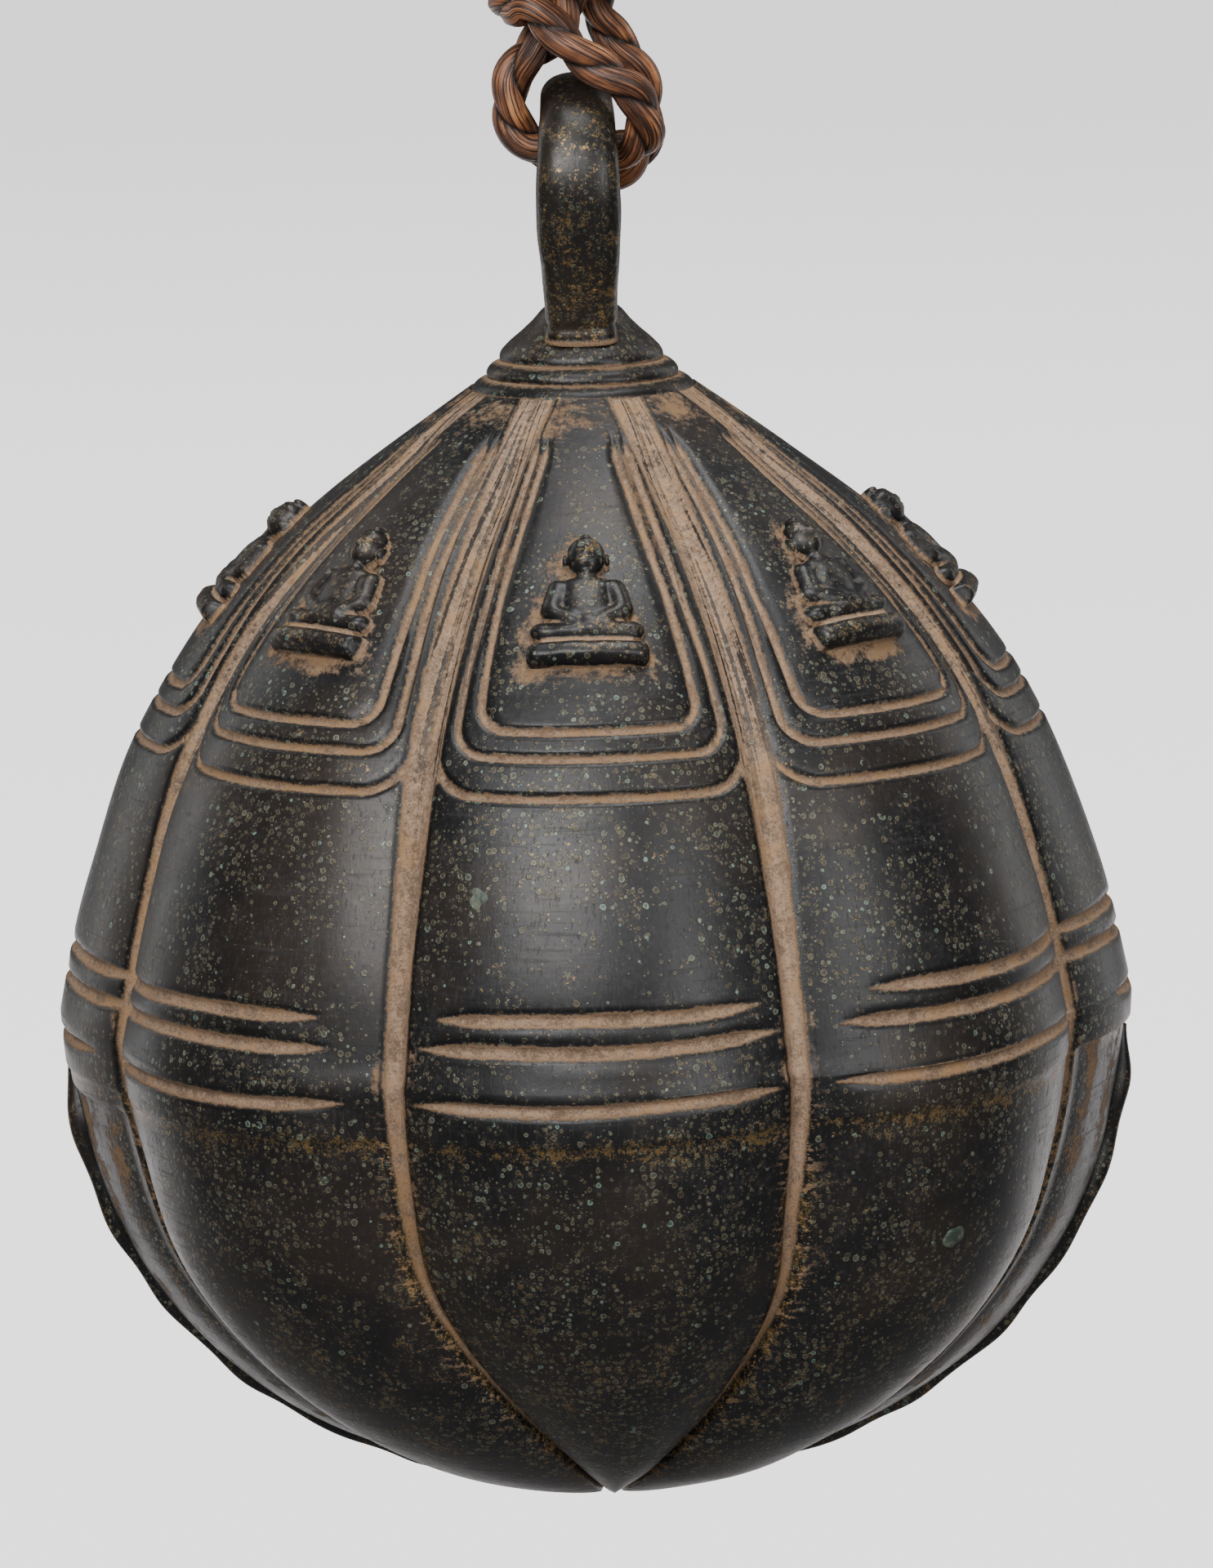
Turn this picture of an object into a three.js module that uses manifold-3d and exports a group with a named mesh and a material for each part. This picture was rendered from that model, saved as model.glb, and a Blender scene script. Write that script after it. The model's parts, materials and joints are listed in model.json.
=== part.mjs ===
// A temple bell of the crotal kind: a lobed bronze gourd with a slit mouth under it, a loose iron
// ball rolling inside, and a bronze loop on top that hangs in a sling of twisted cane rope.
//
// Millimetres, +Z up. The slit runs along X, and the rope passes through the loop along X.
// The origin is the middle of the hook plate's top face, where the hook meets a beam.
// The bell is modelled in a group of its own, whose z = 0 is the widest height of the body.

import * as THREE from 'three';
import { mergeVertices } from 'three/addons/utils/BufferGeometryUtils.js';
import Module from 'manifold-3d';

const wasm = await Module();
wasm.setup();

// ---- Driving dimensions -------------------------------------------------------------------

const fitGap = 0.3; // between pieces that touch

// Body.
const bodyRadius = 100; // at the crest of a lobe
const bottomDepth = 94; // from the widest height down to the lowest point
const bottomSquareness = 2.17; // exponent of the superellipse under the widest height
const shoulderHeight = 112.5; // from the widest height up to the neck
const neckRadius = 21;
const wall = 3.5;
const lobes = 8;
const lobeDepth = 0.062; // the valley between two lobes, as a share of the radius there

// Slit mouth.
const slitWidth = 6;
const slitTop = -42; // height of the round holes that end the slit
const slitHoleRadius = 5.75;
const lipWidth = 4.5;
const lipHeight = 2.2;
const lipTaper = 14; // the lips rise from nothing over this height, above the round holes

// Stepped collar: two rings and a cap.
const ringHeight = 3;
const lowerRingRadius = 20.4;
const upperRingRadius = 17.8;
const capRadius = 15.4;
const capHeight = 9;
const capTipRadius = 3.5;

// Suspension loop.
const loopHoleRadius = 10.5;
const loopBar = 9.5; // thickness of the bar, measured outwards from the hole
const loopWidth = 15.6; // along X
const loopEdge = 3; // rounding of the bar's edges
const loopFootReach = 8.8; // from the axis to the middle of a foot
const loopRise = 31; // from the cap's base up to the middle of the round hole
const loopWrap = 35; // degrees that the round part reaches below level

// Seated figures, one on the shoulder of each lobe.
const figureHeight = 27;
const figureWidth = 22;
const figureRelief = 4.4;
const figureSeatRadius = 70.5; // middle of a figure's foot, on the crest line
const figureTip = 1.2; // degrees that a figure stands steeper than the shoulder behind it

// Iron pins that held the core while the bronze was poured: azimuth from +X in degrees, height.
const corePinRadius = 2.5;
const corePins = [[-103, 33], [-48, -34], [77, 33], [132, -34]];

// Loose ball, which rolls along the slit.
const ballRadius = 13;
const ballClearance = 0.6; // from the ball to the inside of the shell
const ballPivotHeight = 16; // middle of the arc that it rolls on

// Rope. The heights are above the middle of the loop's round hole.
const ropeDiameter = 7.4;
const ropeSides = 8;
const ropeStep = 5; // length of tube between two of its sections
const lashingBottom = 31.3;
const lashingTop = 52.6;
const strandReach = 4.7; // from the axis to each of the three strands in the lashing

// Hook.
const hookBar = 12; // thickness of the forged bar
const hookBend = 16; // radius of the bend, to the middle of the bar
const hookRise = 48; // from the bar under the bend up to the plate
const hookDrop = 72; // from that bar down to the middle of the loop's round hole
const plateRadius = 20;
const plateThickness = 4;

// The rope's way from the middle of the loop's round hole: from the trimmed end over the lashing
// down the left side, through the loop and up the right, over the hook, down the left again,
// through the loop in front, and across to where it starts to wind round itself.
const ropeRoute = [
  [-3.4, 2.9, 56], [-3.4, 2.9, 45], [-3.4, 2.9, 34], [-4.6, 3.4, 28.5], [-8.2, 4.2, 23.8],
  [-11.5, 4.7, 19.2], [-12.1, 4.7, 13.6], [-10.9, 4.6, 8.9], [-7.8, 4.4, 5.6], [-3.8, 4.3, 4.1],
  [0.5, 4.4, 2.7], [4.8, 4.5, 1], [9, 4.4, 2], [11.9, 4.2, 5.6], [12.6, 4, 10.5],
  [12.4, 3.9, 16], [10.4, 3.4, 21.2], [7, 2.4, 26], [4.4, 1.6, 31], [4.2, 1.5, 38],
  [4.2, 1.5, 47], [5.2, 1.1, 55], [8.4, 0.4, 62], [10.5, 0, 71], [7.6, 0, 79.6], [0, 0, 83],
  [-7.6, 0, 79.6], [-10.5, 0, 71], [-8.2, -1.6, 63], [-4, -3.4, 56.5], [-1, -4.4, 49],
  [-0.8, -4.4, 41], [-1, -4.4, 34], [-2.6, -4.4, 28.8], [-6.6, -3.9, 24.6], [-11.3, -3.7, 20.2],
  [-12.2, -3.4, 14.2], [-11.4, -3.3, 10.4], [-8.9, -3.1, 7.2], [-4.6, -3, 5.8], [0, -3, 5.7],
  [4.6, -3.1, 5.4], [8.9, -3.7, 5.9], [11.4, -5.4, 7.2], [12.6, -7.6, 10], [12, -9.6, 13.8],
  [9.9, -11.4, 17.4], [5.6, -12.2, 20.6], [0.2, -12.4, 24.6],
];

// ---- Sizes that follow from those -----------------------------------------------------------

const loopOuterRadius = loopHoleRadius + loopBar;
const ropeRadius = ropeDiameter / 2;
const lashingInner = strandReach + ropeRadius + fitGap;
const lashingOuter = lashingInner + ropeDiameter;
const lowerRingBase = shoulderHeight + fitGap;
const upperRingBase = lowerRingBase + ringHeight + fitGap;
const capBase = upperRingBase + ringHeight + fitGap;
const loopCentre = capBase + loopRise;
const hookBottom = -(plateThickness + hookRise); // middle of the bar that the rope lies on
const ropeOrigin = hookBottom - hookDrop; // where the loop's round hole stands
const ballArc = ballPivotHeight + bottomDepth - wall - ballClearance - ballRadius;

// ---- Booleans on three.js geometry ------------------------------------------------------------

function toManifold(geometry) {
  const bare = geometry.index ? geometry.toNonIndexed() : geometry.clone();
  const position = new THREE.BufferGeometry().setAttribute('position', bare.getAttribute('position'));
  const merged = mergeVertices(position, 1e-4);
  const triVerts = new Uint32Array(merged.index.array);
  const vertProperties = merged.attributes.position.array;
  const solid = new wasm.Manifold(new wasm.Mesh({ numProp: 3, vertProperties, triVerts }));
  if (solid.volume() >= 0) return solid;
  for (let i = 0; i < triVerts.length; i += 3) {
    [triVerts[i + 1], triVerts[i + 2]] = [triVerts[i + 2], triVerts[i + 1]];
  }
  return new wasm.Manifold(new wasm.Mesh({ numProp: 3, vertProperties, triVerts }));
}

function toGeometry(solid) {
  const mesh = solid.getMesh();
  const vertices = new Float32Array(mesh.numVert * 3);
  for (let i = 0; i < mesh.numVert; i++) {
    vertices.set(mesh.vertProperties.subarray(i * mesh.numProp, i * mesh.numProp + 3), i * 3);
  }
  const geometry = new THREE.BufferGeometry();
  geometry.setAttribute('position', new THREE.BufferAttribute(vertices, 3));
  geometry.setIndex(new THREE.BufferAttribute(new Uint32Array(mesh.triVerts), 1));
  geometry.computeVertexNormals();
  return geometry;
}

// A closed solid turned about Z from [radius, height] pairs.
function turned(pairs, segments) {
  const points = pairs.map(([radius, height]) => new THREE.Vector2(radius, height));
  return new THREE.LatheGeometry(points, segments).rotateX(Math.PI / 2);
}

// ---- Materials ----------------------------------------------------------------------------------

const bronze = { color: 0x2a2521, roughness: 0.38, metalness: 0.85 };
const wornBronze = { color: 0x3a2d1e, roughness: 0.32, metalness: 0.9 };
const rustyIron = { color: 0x4a3426, roughness: 0.8, metalness: 0.5 };
const forgedIron = { color: 0x26231f, roughness: 0.55, metalness: 0.8 };
const cane = { color: 0x7a4526, roughness: 0.6, metalness: 0 };

function piece(name, geometry, finish, group) {
  const mesh = new THREE.Mesh(geometry, new THREE.MeshStandardMaterial(finish));
  mesh.name = name;
  group.add(mesh);
  return mesh;
}

// ---- Body -----------------------------------------------------------------------------------------

// The crest line of a lobe, from the neck down to the lowest point: a spline over the shoulder
// and a superellipse under the widest height.
const shoulderLine = new THREE.SplineCurve([
  new THREE.Vector2(neckRadius, shoulderHeight),
  new THREE.Vector2(0.385 * bodyRadius, 0.89 * shoulderHeight),
  new THREE.Vector2(0.575 * bodyRadius, 0.756 * shoulderHeight),
  new THREE.Vector2(0.735 * bodyRadius, 0.6 * shoulderHeight),
  new THREE.Vector2(0.85 * bodyRadius, 0.427 * shoulderHeight),
  new THREE.Vector2(0.943 * bodyRadius, 0.2 * shoulderHeight),
  new THREE.Vector2(0.995 * bodyRadius, 0),
]);

function bottomPoint(share) { // share 0 at the widest height, 1 at the lowest point
  const turn = share * Math.PI / 2;
  const power = 2 / bottomSquareness;
  const radius = bodyRadius * Math.cos(turn) ** power;
  return new THREE.Vector2(radius, -bottomDepth * Math.sin(turn) ** power);
}

function crestLine(shoulderSteps, bottomSteps) {
  const points = shoulderLine.getSpacedPoints(shoulderSteps).slice(0, -1);
  for (let i = 1; i < bottomSteps; i++) points.push(bottomPoint(i / bottomSteps));
  points.push(new THREE.Vector2(0, -bottomDepth));
  return points;
}

// The line moved sideways, outwards for a positive distance.
function offsetLine(points, distance) {
  return points.map((point, i) => {
    const before = points[Math.max(i - 1, 0)];
    const after = points[Math.min(i + 1, points.length - 1)];
    const along = after.clone().sub(before).normalize();
    if (point.x === 0) return new THREE.Vector2(0, point.y - distance);
    return new THREE.Vector2(point.x - along.y * distance, point.y + along.x * distance);
  });
}

// A closed lobed solid from a crest line: a turned body whose points move in between the crests.
function lobedBody(line, segments) {
  const body = turned([[0, line[0].y], ...line.map((point) => [point.x, point.y])], segments);
  const position = body.getAttribute('position');
  for (let i = 0; i < position.count; i++) {
    const azimuth = Math.atan2(position.getY(i), position.getX(i));
    const inLobe = azimuth * lobes / (2 * Math.PI);
    const across = 2 * (inLobe - Math.round(inLobe)); // -1 and 1 in the valleys, 0 on the crest
    const inward = 1 - lobeDepth * across * across;
    position.setXY(i, position.getX(i) * inward, position.getY(i) * inward);
  }
  return toManifold(body);
}

// The plate that becomes the two lips once the cavity and the slit are cut out of it.
function lipPlate() {
  const top = slitTop + lipTaper;
  const side = crestLine(24, 24).filter((point) => point.y < top).map((point) => {
    const rise = Math.min(1, (top - point.y) / lipTaper);
    return point.clone().multiplyScalar(1 + rise * lipHeight / point.length());
  });
  const otherSide = side.slice(0, -1).reverse().map((point) => new THREE.Vector2(-point.x, point.y));
  const thickness = slitWidth + 2 * lipWidth;
  const outline = new THREE.Shape([...side, ...otherSide]);
  return toManifold(new THREE.ExtrudeGeometry(outline, { depth: thickness, bevelEnabled: false })
    .translate(0, 0, -thickness / 2)
    .rotateX(Math.PI / 2));
}

// The slit and the round hole at each of its ends.
function slitCutter() {
  const reach = 2 * (bodyRadius + lipHeight);
  const slot = new THREE.BoxGeometry(reach, slitWidth, bodyRadius + bottomDepth)
    .translate(0, 0, slitTop - (bodyRadius + bottomDepth) / 2);
  const holes = new THREE.CylinderGeometry(slitHoleRadius, slitHoleRadius, reach, 16)
    .rotateZ(Math.PI / 2)
    .translate(0, 0, slitTop);
  return toManifold(slot).add(toManifold(holes));
}

// A round bar through the wall, square to the axis.
function throughWall(azimuth, height, radius) {
  return toManifold(new THREE.CylinderGeometry(radius, radius, bodyRadius, 12)
    .rotateZ(-Math.PI / 2)
    .translate(bodyRadius, 0, height)
    .rotateZ(THREE.MathUtils.degToRad(azimuth)));
}

const body = lobedBody(crestLine(14, 12), lobes * 6);
const cavity = lobedBody(offsetLine(crestLine(10, 9), -wall), lobes * 4);
const skin = body.subtract(cavity);

const bell = new THREE.Group();
bell.position.z = ropeOrigin - loopCentre;

let shell = body.add(lipPlate()).subtract(cavity).subtract(slitCutter());
corePins.forEach(([azimuth, height], i) => {
  const pin = skin.intersect(throughWall(azimuth, height, corePinRadius));
  piece(`core_pin_${i + 1}`, toGeometry(pin), rustyIron, bell);
  shell = shell.subtract(throughWall(azimuth, height, corePinRadius + fitGap));
});
piece('bell_shell', toGeometry(shell), bronze, bell);

// ---- Collar -----------------------------------------------------------------------------------------

// A ring with a rounded outer edge.
function collarRing(radius, base) {
  const edge = ringHeight / 3;
  return turned([
    [0, base], [radius - edge, base], [radius, base + edge], [radius, base + 2 * edge],
    [radius - edge, base + ringHeight], [0, base + ringHeight],
  ], 24);
}

// The cap, grown by a margin so that it can cut its own seat.
function cap(margin) {
  return turned([
    [0, capBase - margin], [capRadius + margin, capBase - margin],
    [capRadius + margin, capBase + capHeight / 6 + margin],
    [0.72 * capRadius + margin, capBase + 0.55 * capHeight + margin],
    [capTipRadius + margin, capBase + capHeight + margin], [0, capBase + capHeight + margin],
  ], 24);
}

piece('lower_neck_ring', collarRing(lowerRingRadius, lowerRingBase), bronze, bell);
piece('upper_neck_ring', collarRing(upperRingRadius, upperRingBase), bronze, bell);
piece('neck_cap', cap(0), bronze, bell);

// ---- Suspension loop ----------------------------------------------------------------------------------

// A horseshoe in the YZ plane: a round head, and legs that draw in to the feet.
function suspensionLoop() {
  const wrap = THREE.MathUtils.degToRad(loopWrap);
  const footOut = loopFootReach + loopBar / 2 - loopEdge;
  const footIn = loopFootReach - loopBar / 2 + loopEdge;
  const footHeight = capBase - loopCentre;
  const outline = new THREE.Shape();
  outline.moveTo(footOut, footHeight);
  outline.absarc(0, 0, loopOuterRadius - loopEdge, -wrap, Math.PI + wrap, false);
  outline.lineTo(-footOut, footHeight);
  outline.lineTo(-footIn, footHeight);
  outline.absarc(0, 0, loopHoleRadius + loopEdge, Math.PI + wrap, -wrap, true);
  outline.lineTo(footIn, footHeight);
  outline.closePath();
  const depth = loopWidth - 2 * loopEdge;
  const head = new THREE.ExtrudeGeometry(outline, {
    depth, curveSegments: 14, bevelSize: loopEdge, bevelThickness: loopEdge, bevelSegments: 1,
  });
  head.translate(0, 0, -depth / 2).rotateX(Math.PI / 2).rotateZ(Math.PI / 2);
  return toManifold(head.translate(0, 0, loopCentre)).subtract(toManifold(cap(fitGap)));
}

// What lies under the cap is cut away, so that only the legs that stand on it are left.
function belowCap() {
  return toManifold(new THREE.BoxGeometry(4 * capRadius, 4 * capRadius, capHeight)
    .translate(0, 0, capBase + capHeight / 6 + fitGap - capHeight / 2));
}

piece('suspension_loop', toGeometry(suspensionLoop().subtract(belowCap())), wornBronze, bell);

// ---- Seated figures -----------------------------------------------------------------------------------

// A cross-legged figure in relief: X across, Y up, Z out of the shoulder.
function seatedFigure() {
  const half = figureWidth / 2;
  const ball = (x, y, width, height, depth) => toManifold(new THREE.SphereGeometry(1, 9, 5)
    .rotateX(Math.PI / 2)
    .scale(width, height, depth)
    .translate(x, y, 0));
  const seat = toManifold(new THREE.BoxGeometry(2 * half, 0.09 * figureHeight, 1.2 * figureRelief)
    .translate(0, 0.045 * figureHeight, 0));
  const parts = [
    ball(0, 0.2 * figureHeight, 0.95 * half, 0.15 * figureHeight, 0.9 * figureRelief),
    ball(0, 0.45 * figureHeight, 0.5 * half, 0.27 * figureHeight, 0.85 * figureRelief),
    ball(-0.5 * half, 0.42 * figureHeight, 0.2 * half, 0.22 * figureHeight, 0.65 * figureRelief),
    ball(0.5 * half, 0.42 * figureHeight, 0.2 * half, 0.22 * figureHeight, 0.65 * figureRelief),
    ball(0, 0.82 * figureHeight, 0.3 * half, 0.18 * figureHeight, figureRelief),
  ];
  return parts.reduce((whole, part) => whole.add(part), seat);
}

// The crest line's point at a radius on the shoulder, and the slope from there up to the head.
const shoulderPoints = shoulderLine.getSpacedPoints(60);
const foot = shoulderPoints.find((point) => point.x >= figureSeatRadius);
const crown = shoulderPoints.find((point) => point.distanceTo(foot) <= figureHeight);
const figureLean = Math.atan2(crown.y - foot.y, foot.x - crown.x) + THREE.MathUtils.degToRad(figureTip);
const seatSolid = lobedBody(offsetLine(crestLine(14, 12), fitGap), lobes * 6);
for (let i = 0; i < lobes; i++) {
  const placed = new THREE.Matrix4()
    .makeRotationZ(i * 2 * Math.PI / lobes)
    .multiply(new THREE.Matrix4().makeTranslation(0, -foot.x, foot.y))
    .multiply(new THREE.Matrix4().makeRotationX(figureLean));
  const figure = seatedFigure().transform(placed.elements).subtract(seatSolid);
  piece(`seated_figure_${i + 1}`, toGeometry(figure), bronze, bell);
}

// ---- Loose ball ------------------------------------------------------------------------------------------

const ball = piece('rattle_ball', new THREE.SphereGeometry(ballRadius, 16, 10), rustyIron, bell);
ball.position.z = ballPivotHeight - ballArc;

// ---- Rope -------------------------------------------------------------------------------------------------

function tubeAlong(points, radius, sides, step) {
  const curve = new THREE.CatmullRomCurve3(points.map((point) => new THREE.Vector3(...point)));
  const section = new THREE.Shape(new THREE.EllipseCurve(0, 0, radius, radius).getPoints(sides).slice(1));
  const steps = Math.ceil(curve.getLength() / step);
  return new THREE.ExtrudeGeometry(section, { extrudePath: curve, steps, bevelEnabled: false });
}

const sling = new THREE.Group();
sling.position.z = ropeOrigin;
piece('rope', tubeAlong(ropeRoute, ropeRadius, ropeSides, ropeStep), cane, sling);
piece('rope_lashing', turned([
  [lashingInner, lashingBottom], [lashingOuter, lashingBottom], [lashingOuter, lashingTop],
  [lashingInner, lashingTop], [lashingInner, lashingBottom],
], 24), cane, sling);

// ---- Hook ---------------------------------------------------------------------------------------------------

// A bar bent in the YZ plane, forged in one with the round plate over it.
function ceilingHook() {
  const across = hookBend * Math.SQRT1_2;
  const bar = tubeAlong([
    [0, -hookBend - 1, hookBend + 5], [0, -hookBend, hookBend - 2], [0, -across, hookBend - across],
    [0, 0, 0], [0, across, hookBend - across], [0, hookBend, hookBend], [0, across, hookBend + across],
    [0, 3, 2 * hookBend + 4], [0, 0, hookRise - 6], [0, 0, hookRise + plateThickness / 2],
  ], hookBar / 2, 10, 7);
  const plate = turned([
    [0, hookRise], [plateRadius, hookRise], [plateRadius, hookRise + plateThickness],
    [0, hookRise + plateThickness],
  ], 24);
  return toManifold(bar).add(toManifold(plate));
}

const hook = piece('ceiling_hook', toGeometry(ceilingHook()), forgedIron, new THREE.Group());
hook.position.z = hookBottom;

const templeBell = new THREE.Group();
templeBell.add(hook, sling, bell);

export default templeBell;
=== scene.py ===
import json
import math
import bmesh
import bpy
import numpy as np
from mathutils import Matrix, Vector


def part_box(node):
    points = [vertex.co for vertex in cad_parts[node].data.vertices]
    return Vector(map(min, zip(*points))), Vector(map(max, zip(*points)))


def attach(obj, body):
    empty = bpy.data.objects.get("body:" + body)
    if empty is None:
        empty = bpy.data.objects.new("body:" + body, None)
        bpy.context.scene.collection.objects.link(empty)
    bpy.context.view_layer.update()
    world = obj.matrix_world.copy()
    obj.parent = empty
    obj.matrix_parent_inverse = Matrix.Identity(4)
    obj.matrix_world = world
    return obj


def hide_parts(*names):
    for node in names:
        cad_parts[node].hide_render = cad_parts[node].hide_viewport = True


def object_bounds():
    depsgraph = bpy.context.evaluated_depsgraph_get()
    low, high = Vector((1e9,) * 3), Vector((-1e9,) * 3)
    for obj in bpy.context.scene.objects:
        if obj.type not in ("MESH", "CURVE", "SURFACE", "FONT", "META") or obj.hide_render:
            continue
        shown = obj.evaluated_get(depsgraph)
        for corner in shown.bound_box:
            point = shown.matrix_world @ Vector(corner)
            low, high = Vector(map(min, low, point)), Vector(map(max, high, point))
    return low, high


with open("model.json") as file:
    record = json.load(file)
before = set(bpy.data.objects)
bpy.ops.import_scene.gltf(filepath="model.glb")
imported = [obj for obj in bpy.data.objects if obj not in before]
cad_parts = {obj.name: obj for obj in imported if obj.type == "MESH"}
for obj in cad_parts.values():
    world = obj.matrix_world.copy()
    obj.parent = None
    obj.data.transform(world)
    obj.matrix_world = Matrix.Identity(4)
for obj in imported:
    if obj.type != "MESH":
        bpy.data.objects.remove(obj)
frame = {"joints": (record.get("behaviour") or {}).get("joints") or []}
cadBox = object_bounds()
mm = 0.001
joints = {joint["name"]: joint for joint in frame["joints"]}
hookZ = joints["rope_sway"]["pos_m"][2] / mm      # the hook's bar, where the rope lies over it
loopZ = joints["bell_swing"]["pos_m"][2] / mm     # middle of the loop's round hole
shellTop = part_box("bell_shell")[1].z / mm
print("frame loaded, object box", [list(corner) for corner in cadBox])


# camera and lights

cameraSet = dict(pitch=10.0, roll=1.25, distance=1.5, lens=184.8, aimX=0.0028, aboveWaist=0.0375)
shoulderHeight = 112.5
waistZ = shellTop - shoulderHeight                # height of the widest place, in the frame


def addCamera(settings):
    # stands at a distance from its target, pitched down by an angle, and rolled about its own view
    pitch = math.radians(settings["pitch"])
    target = np.array([settings["aimX"], 0, waistZ * mm + settings["aboveWaist"]])
    place = target + settings["distance"] * np.array([0, -math.cos(pitch), math.sin(pitch)])
    camera = bpy.data.objects.new("camera", bpy.data.cameras.new("camera"))
    camera.data.lens = settings["lens"]
    camera.data.clip_end = 100
    roll = math.radians(settings["roll"])
    turn = Matrix.Rotation(math.pi / 2 - pitch, 4, "X") @ Matrix.Rotation(-roll, 4, "Z")
    camera.matrix_world = Matrix.Translation(place) @ turn
    bpy.context.scene.collection.objects.link(camera)
    bpy.context.scene.camera = camera


def addSoftbox(name, place, aim, width, height, power):
    # a rectangular area light, turned to face what it lights
    light = bpy.data.lights.new(name, "AREA")
    light.shape = "RECTANGLE"
    light.size, light.size_y, light.energy = width, height, power
    holder = bpy.data.objects.new(name, light)
    direction = Vector(aim) - Vector(place)
    holder.matrix_world = Matrix.Translation(place) @ direction.to_track_quat("-Z", "Y").to_matrix().to_4x4()
    bpy.context.scene.collection.objects.link(holder)


addCamera(cameraSet)
middle = (0, 0, waistZ * mm)
addSoftbox("left rim light", (-0.95, 0.75, 0.1), middle, 0.3, 1.4, 3)
addSoftbox("right rim light", (0.95, 0.75, 0.1), middle, 0.3, 1.4, 3)
addSoftbox("front softbox", (-0.55, -1.7, 0.85), middle, 1.3, 0.9, 52)
addSoftbox("right fill", (1.0, -1.3, 0.2), middle, 0.5, 0.9, 12)
addSoftbox("top softbox", (0.1, -0.1, 1.3), middle, 1.0, 0.8, 22)


# shader maths

class Sock:
    # one output socket; arithmetic on it makes a Math node
    def __init__(self, tree, out):
        self.tree, self.out = tree, out

    def math(self, operation, *values):
        return self.tree.node("ShaderNodeMath", dict(operation=operation), self, *values)

    def __add__(self, other): return self.math("ADD", other)
    def __radd__(self, other): return self.math("ADD", other)
    def __sub__(self, other): return self.math("SUBTRACT", other)
    def __rsub__(self, other): return (self * -1).math("ADD", other)
    def __mul__(self, other): return self.math("MULTIPLY", other)
    def __rmul__(self, other): return self.math("MULTIPLY", other)
    def __truediv__(self, other): return self.math("DIVIDE", other)

    def step(self, low, high):
        # 0 below low and 1 above high, with a smooth rise between them
        return self.tree.node("ShaderNodeMapRange", dict(interpolation_type="SMOOTHSTEP"), self, low, high)

    def other(self, name):
        # another output of the same node
        return Sock(self.tree, self.out.node.outputs[name])


class Tree:
    # the node tree of one material
    def __init__(self, name):
        self.material = bpy.data.materials.new(name)
        self.material.use_nodes = True
        self.nodes = self.material.node_tree.nodes
        self.links = self.material.node_tree.links
        self.nodes.clear()
        self.coords = self.node("ShaderNodeTexCoord", {}, output="Object")

    def node(self, kind, settings, *values, output=0, **named):
        made = self.nodes.new(kind)
        for key, value in settings.items():
            if key == "stops":
                self.setStops(made.color_ramp, value)
            else:
                setattr(made, key, value)
        for key, value in list(enumerate(values)) + list(named.items()):
            socket = made.inputs[key if isinstance(key, int) else key.replace("_", " ")]
            if isinstance(value, Sock):
                self.links.new(value.out, socket)
            else:
                socket.default_value = value
        return Sock(self, made.outputs[output])

    def setStops(self, ramp, stops):
        while len(ramp.elements) < len(stops):
            ramp.elements.new(1)
        for element, (place, colour) in zip(ramp.elements, stops):
            element.position, element.color = place, (*colour, 1)

    def noise(self, scale, detail=3, roughness=0.55, vector=None):
        return self.node("ShaderNodeTexNoise", {}, Vector=vector or self.coords, Scale=scale, Detail=detail,
                         Roughness=roughness)

    def attribute(self, name, output="Fac"):
        return self.node("ShaderNodeAttribute", dict(attribute_name=name), output=output)

    def mix(self, factor, first, second):
        made = self.nodes.new("ShaderNodeMix")
        made.data_type = "RGBA"
        for key, value in ((0, factor), (6, first), (7, second)):
            if isinstance(value, Sock):
                self.links.new(value.out, made.inputs[key])
            else:
                made.inputs[key].default_value = value if key == 0 else (*value, 1)
        return Sock(self, made.outputs[2])

    def split(self, vector, axis):
        return self.node("ShaderNodeSeparateXYZ", {}, vector, output=axis)

    def scaled(self, vector, factors):
        return self.node("ShaderNodeVectorMath", dict(operation="MULTIPLY"), vector, factors)

    def bump(self, height, distance, strength=1.0):
        return self.node("ShaderNodeBump", {}, Height=height, Distance=distance, Strength=strength)

    def finish(self, **sockets):
        shader = self.node("ShaderNodeBsdfPrincipled", {}, **sockets)
        out = self.nodes.new("ShaderNodeOutputMaterial")
        self.links.new(shader.out, out.inputs["Surface"])
        return self.material


# mesh helpers

def gridFaces(rows, columns, closed=False, start=0):
    # quads of a rows by columns grid: they point out when rows run down and columns run to the left
    last = columns if closed else columns - 1
    row, column = np.meshgrid(np.arange(rows - 1), np.arange(last), indexing="ij")
    following = (column + 1) % columns
    low = row * columns
    corners = [low + column, low + columns + column, low + columns + following, low + following]
    return start + np.stack(corners, axis=-1).reshape(-1, 4)


def tubeFaces(rows, columns, start=0):
    # a closed tube's quads, and a fan at each end to one of the two points that follow the grid
    ring = start + np.arange(columns)
    last = (rows - 1) * columns + ring
    middle = np.full(columns, start + rows * columns)
    return [gridFaces(rows, columns, closed=True, start=start),
            np.stack([ring, np.roll(ring, -1), middle], axis=1),
            np.stack([np.roll(last, -1), last, middle + 1], axis=1)]


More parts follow.
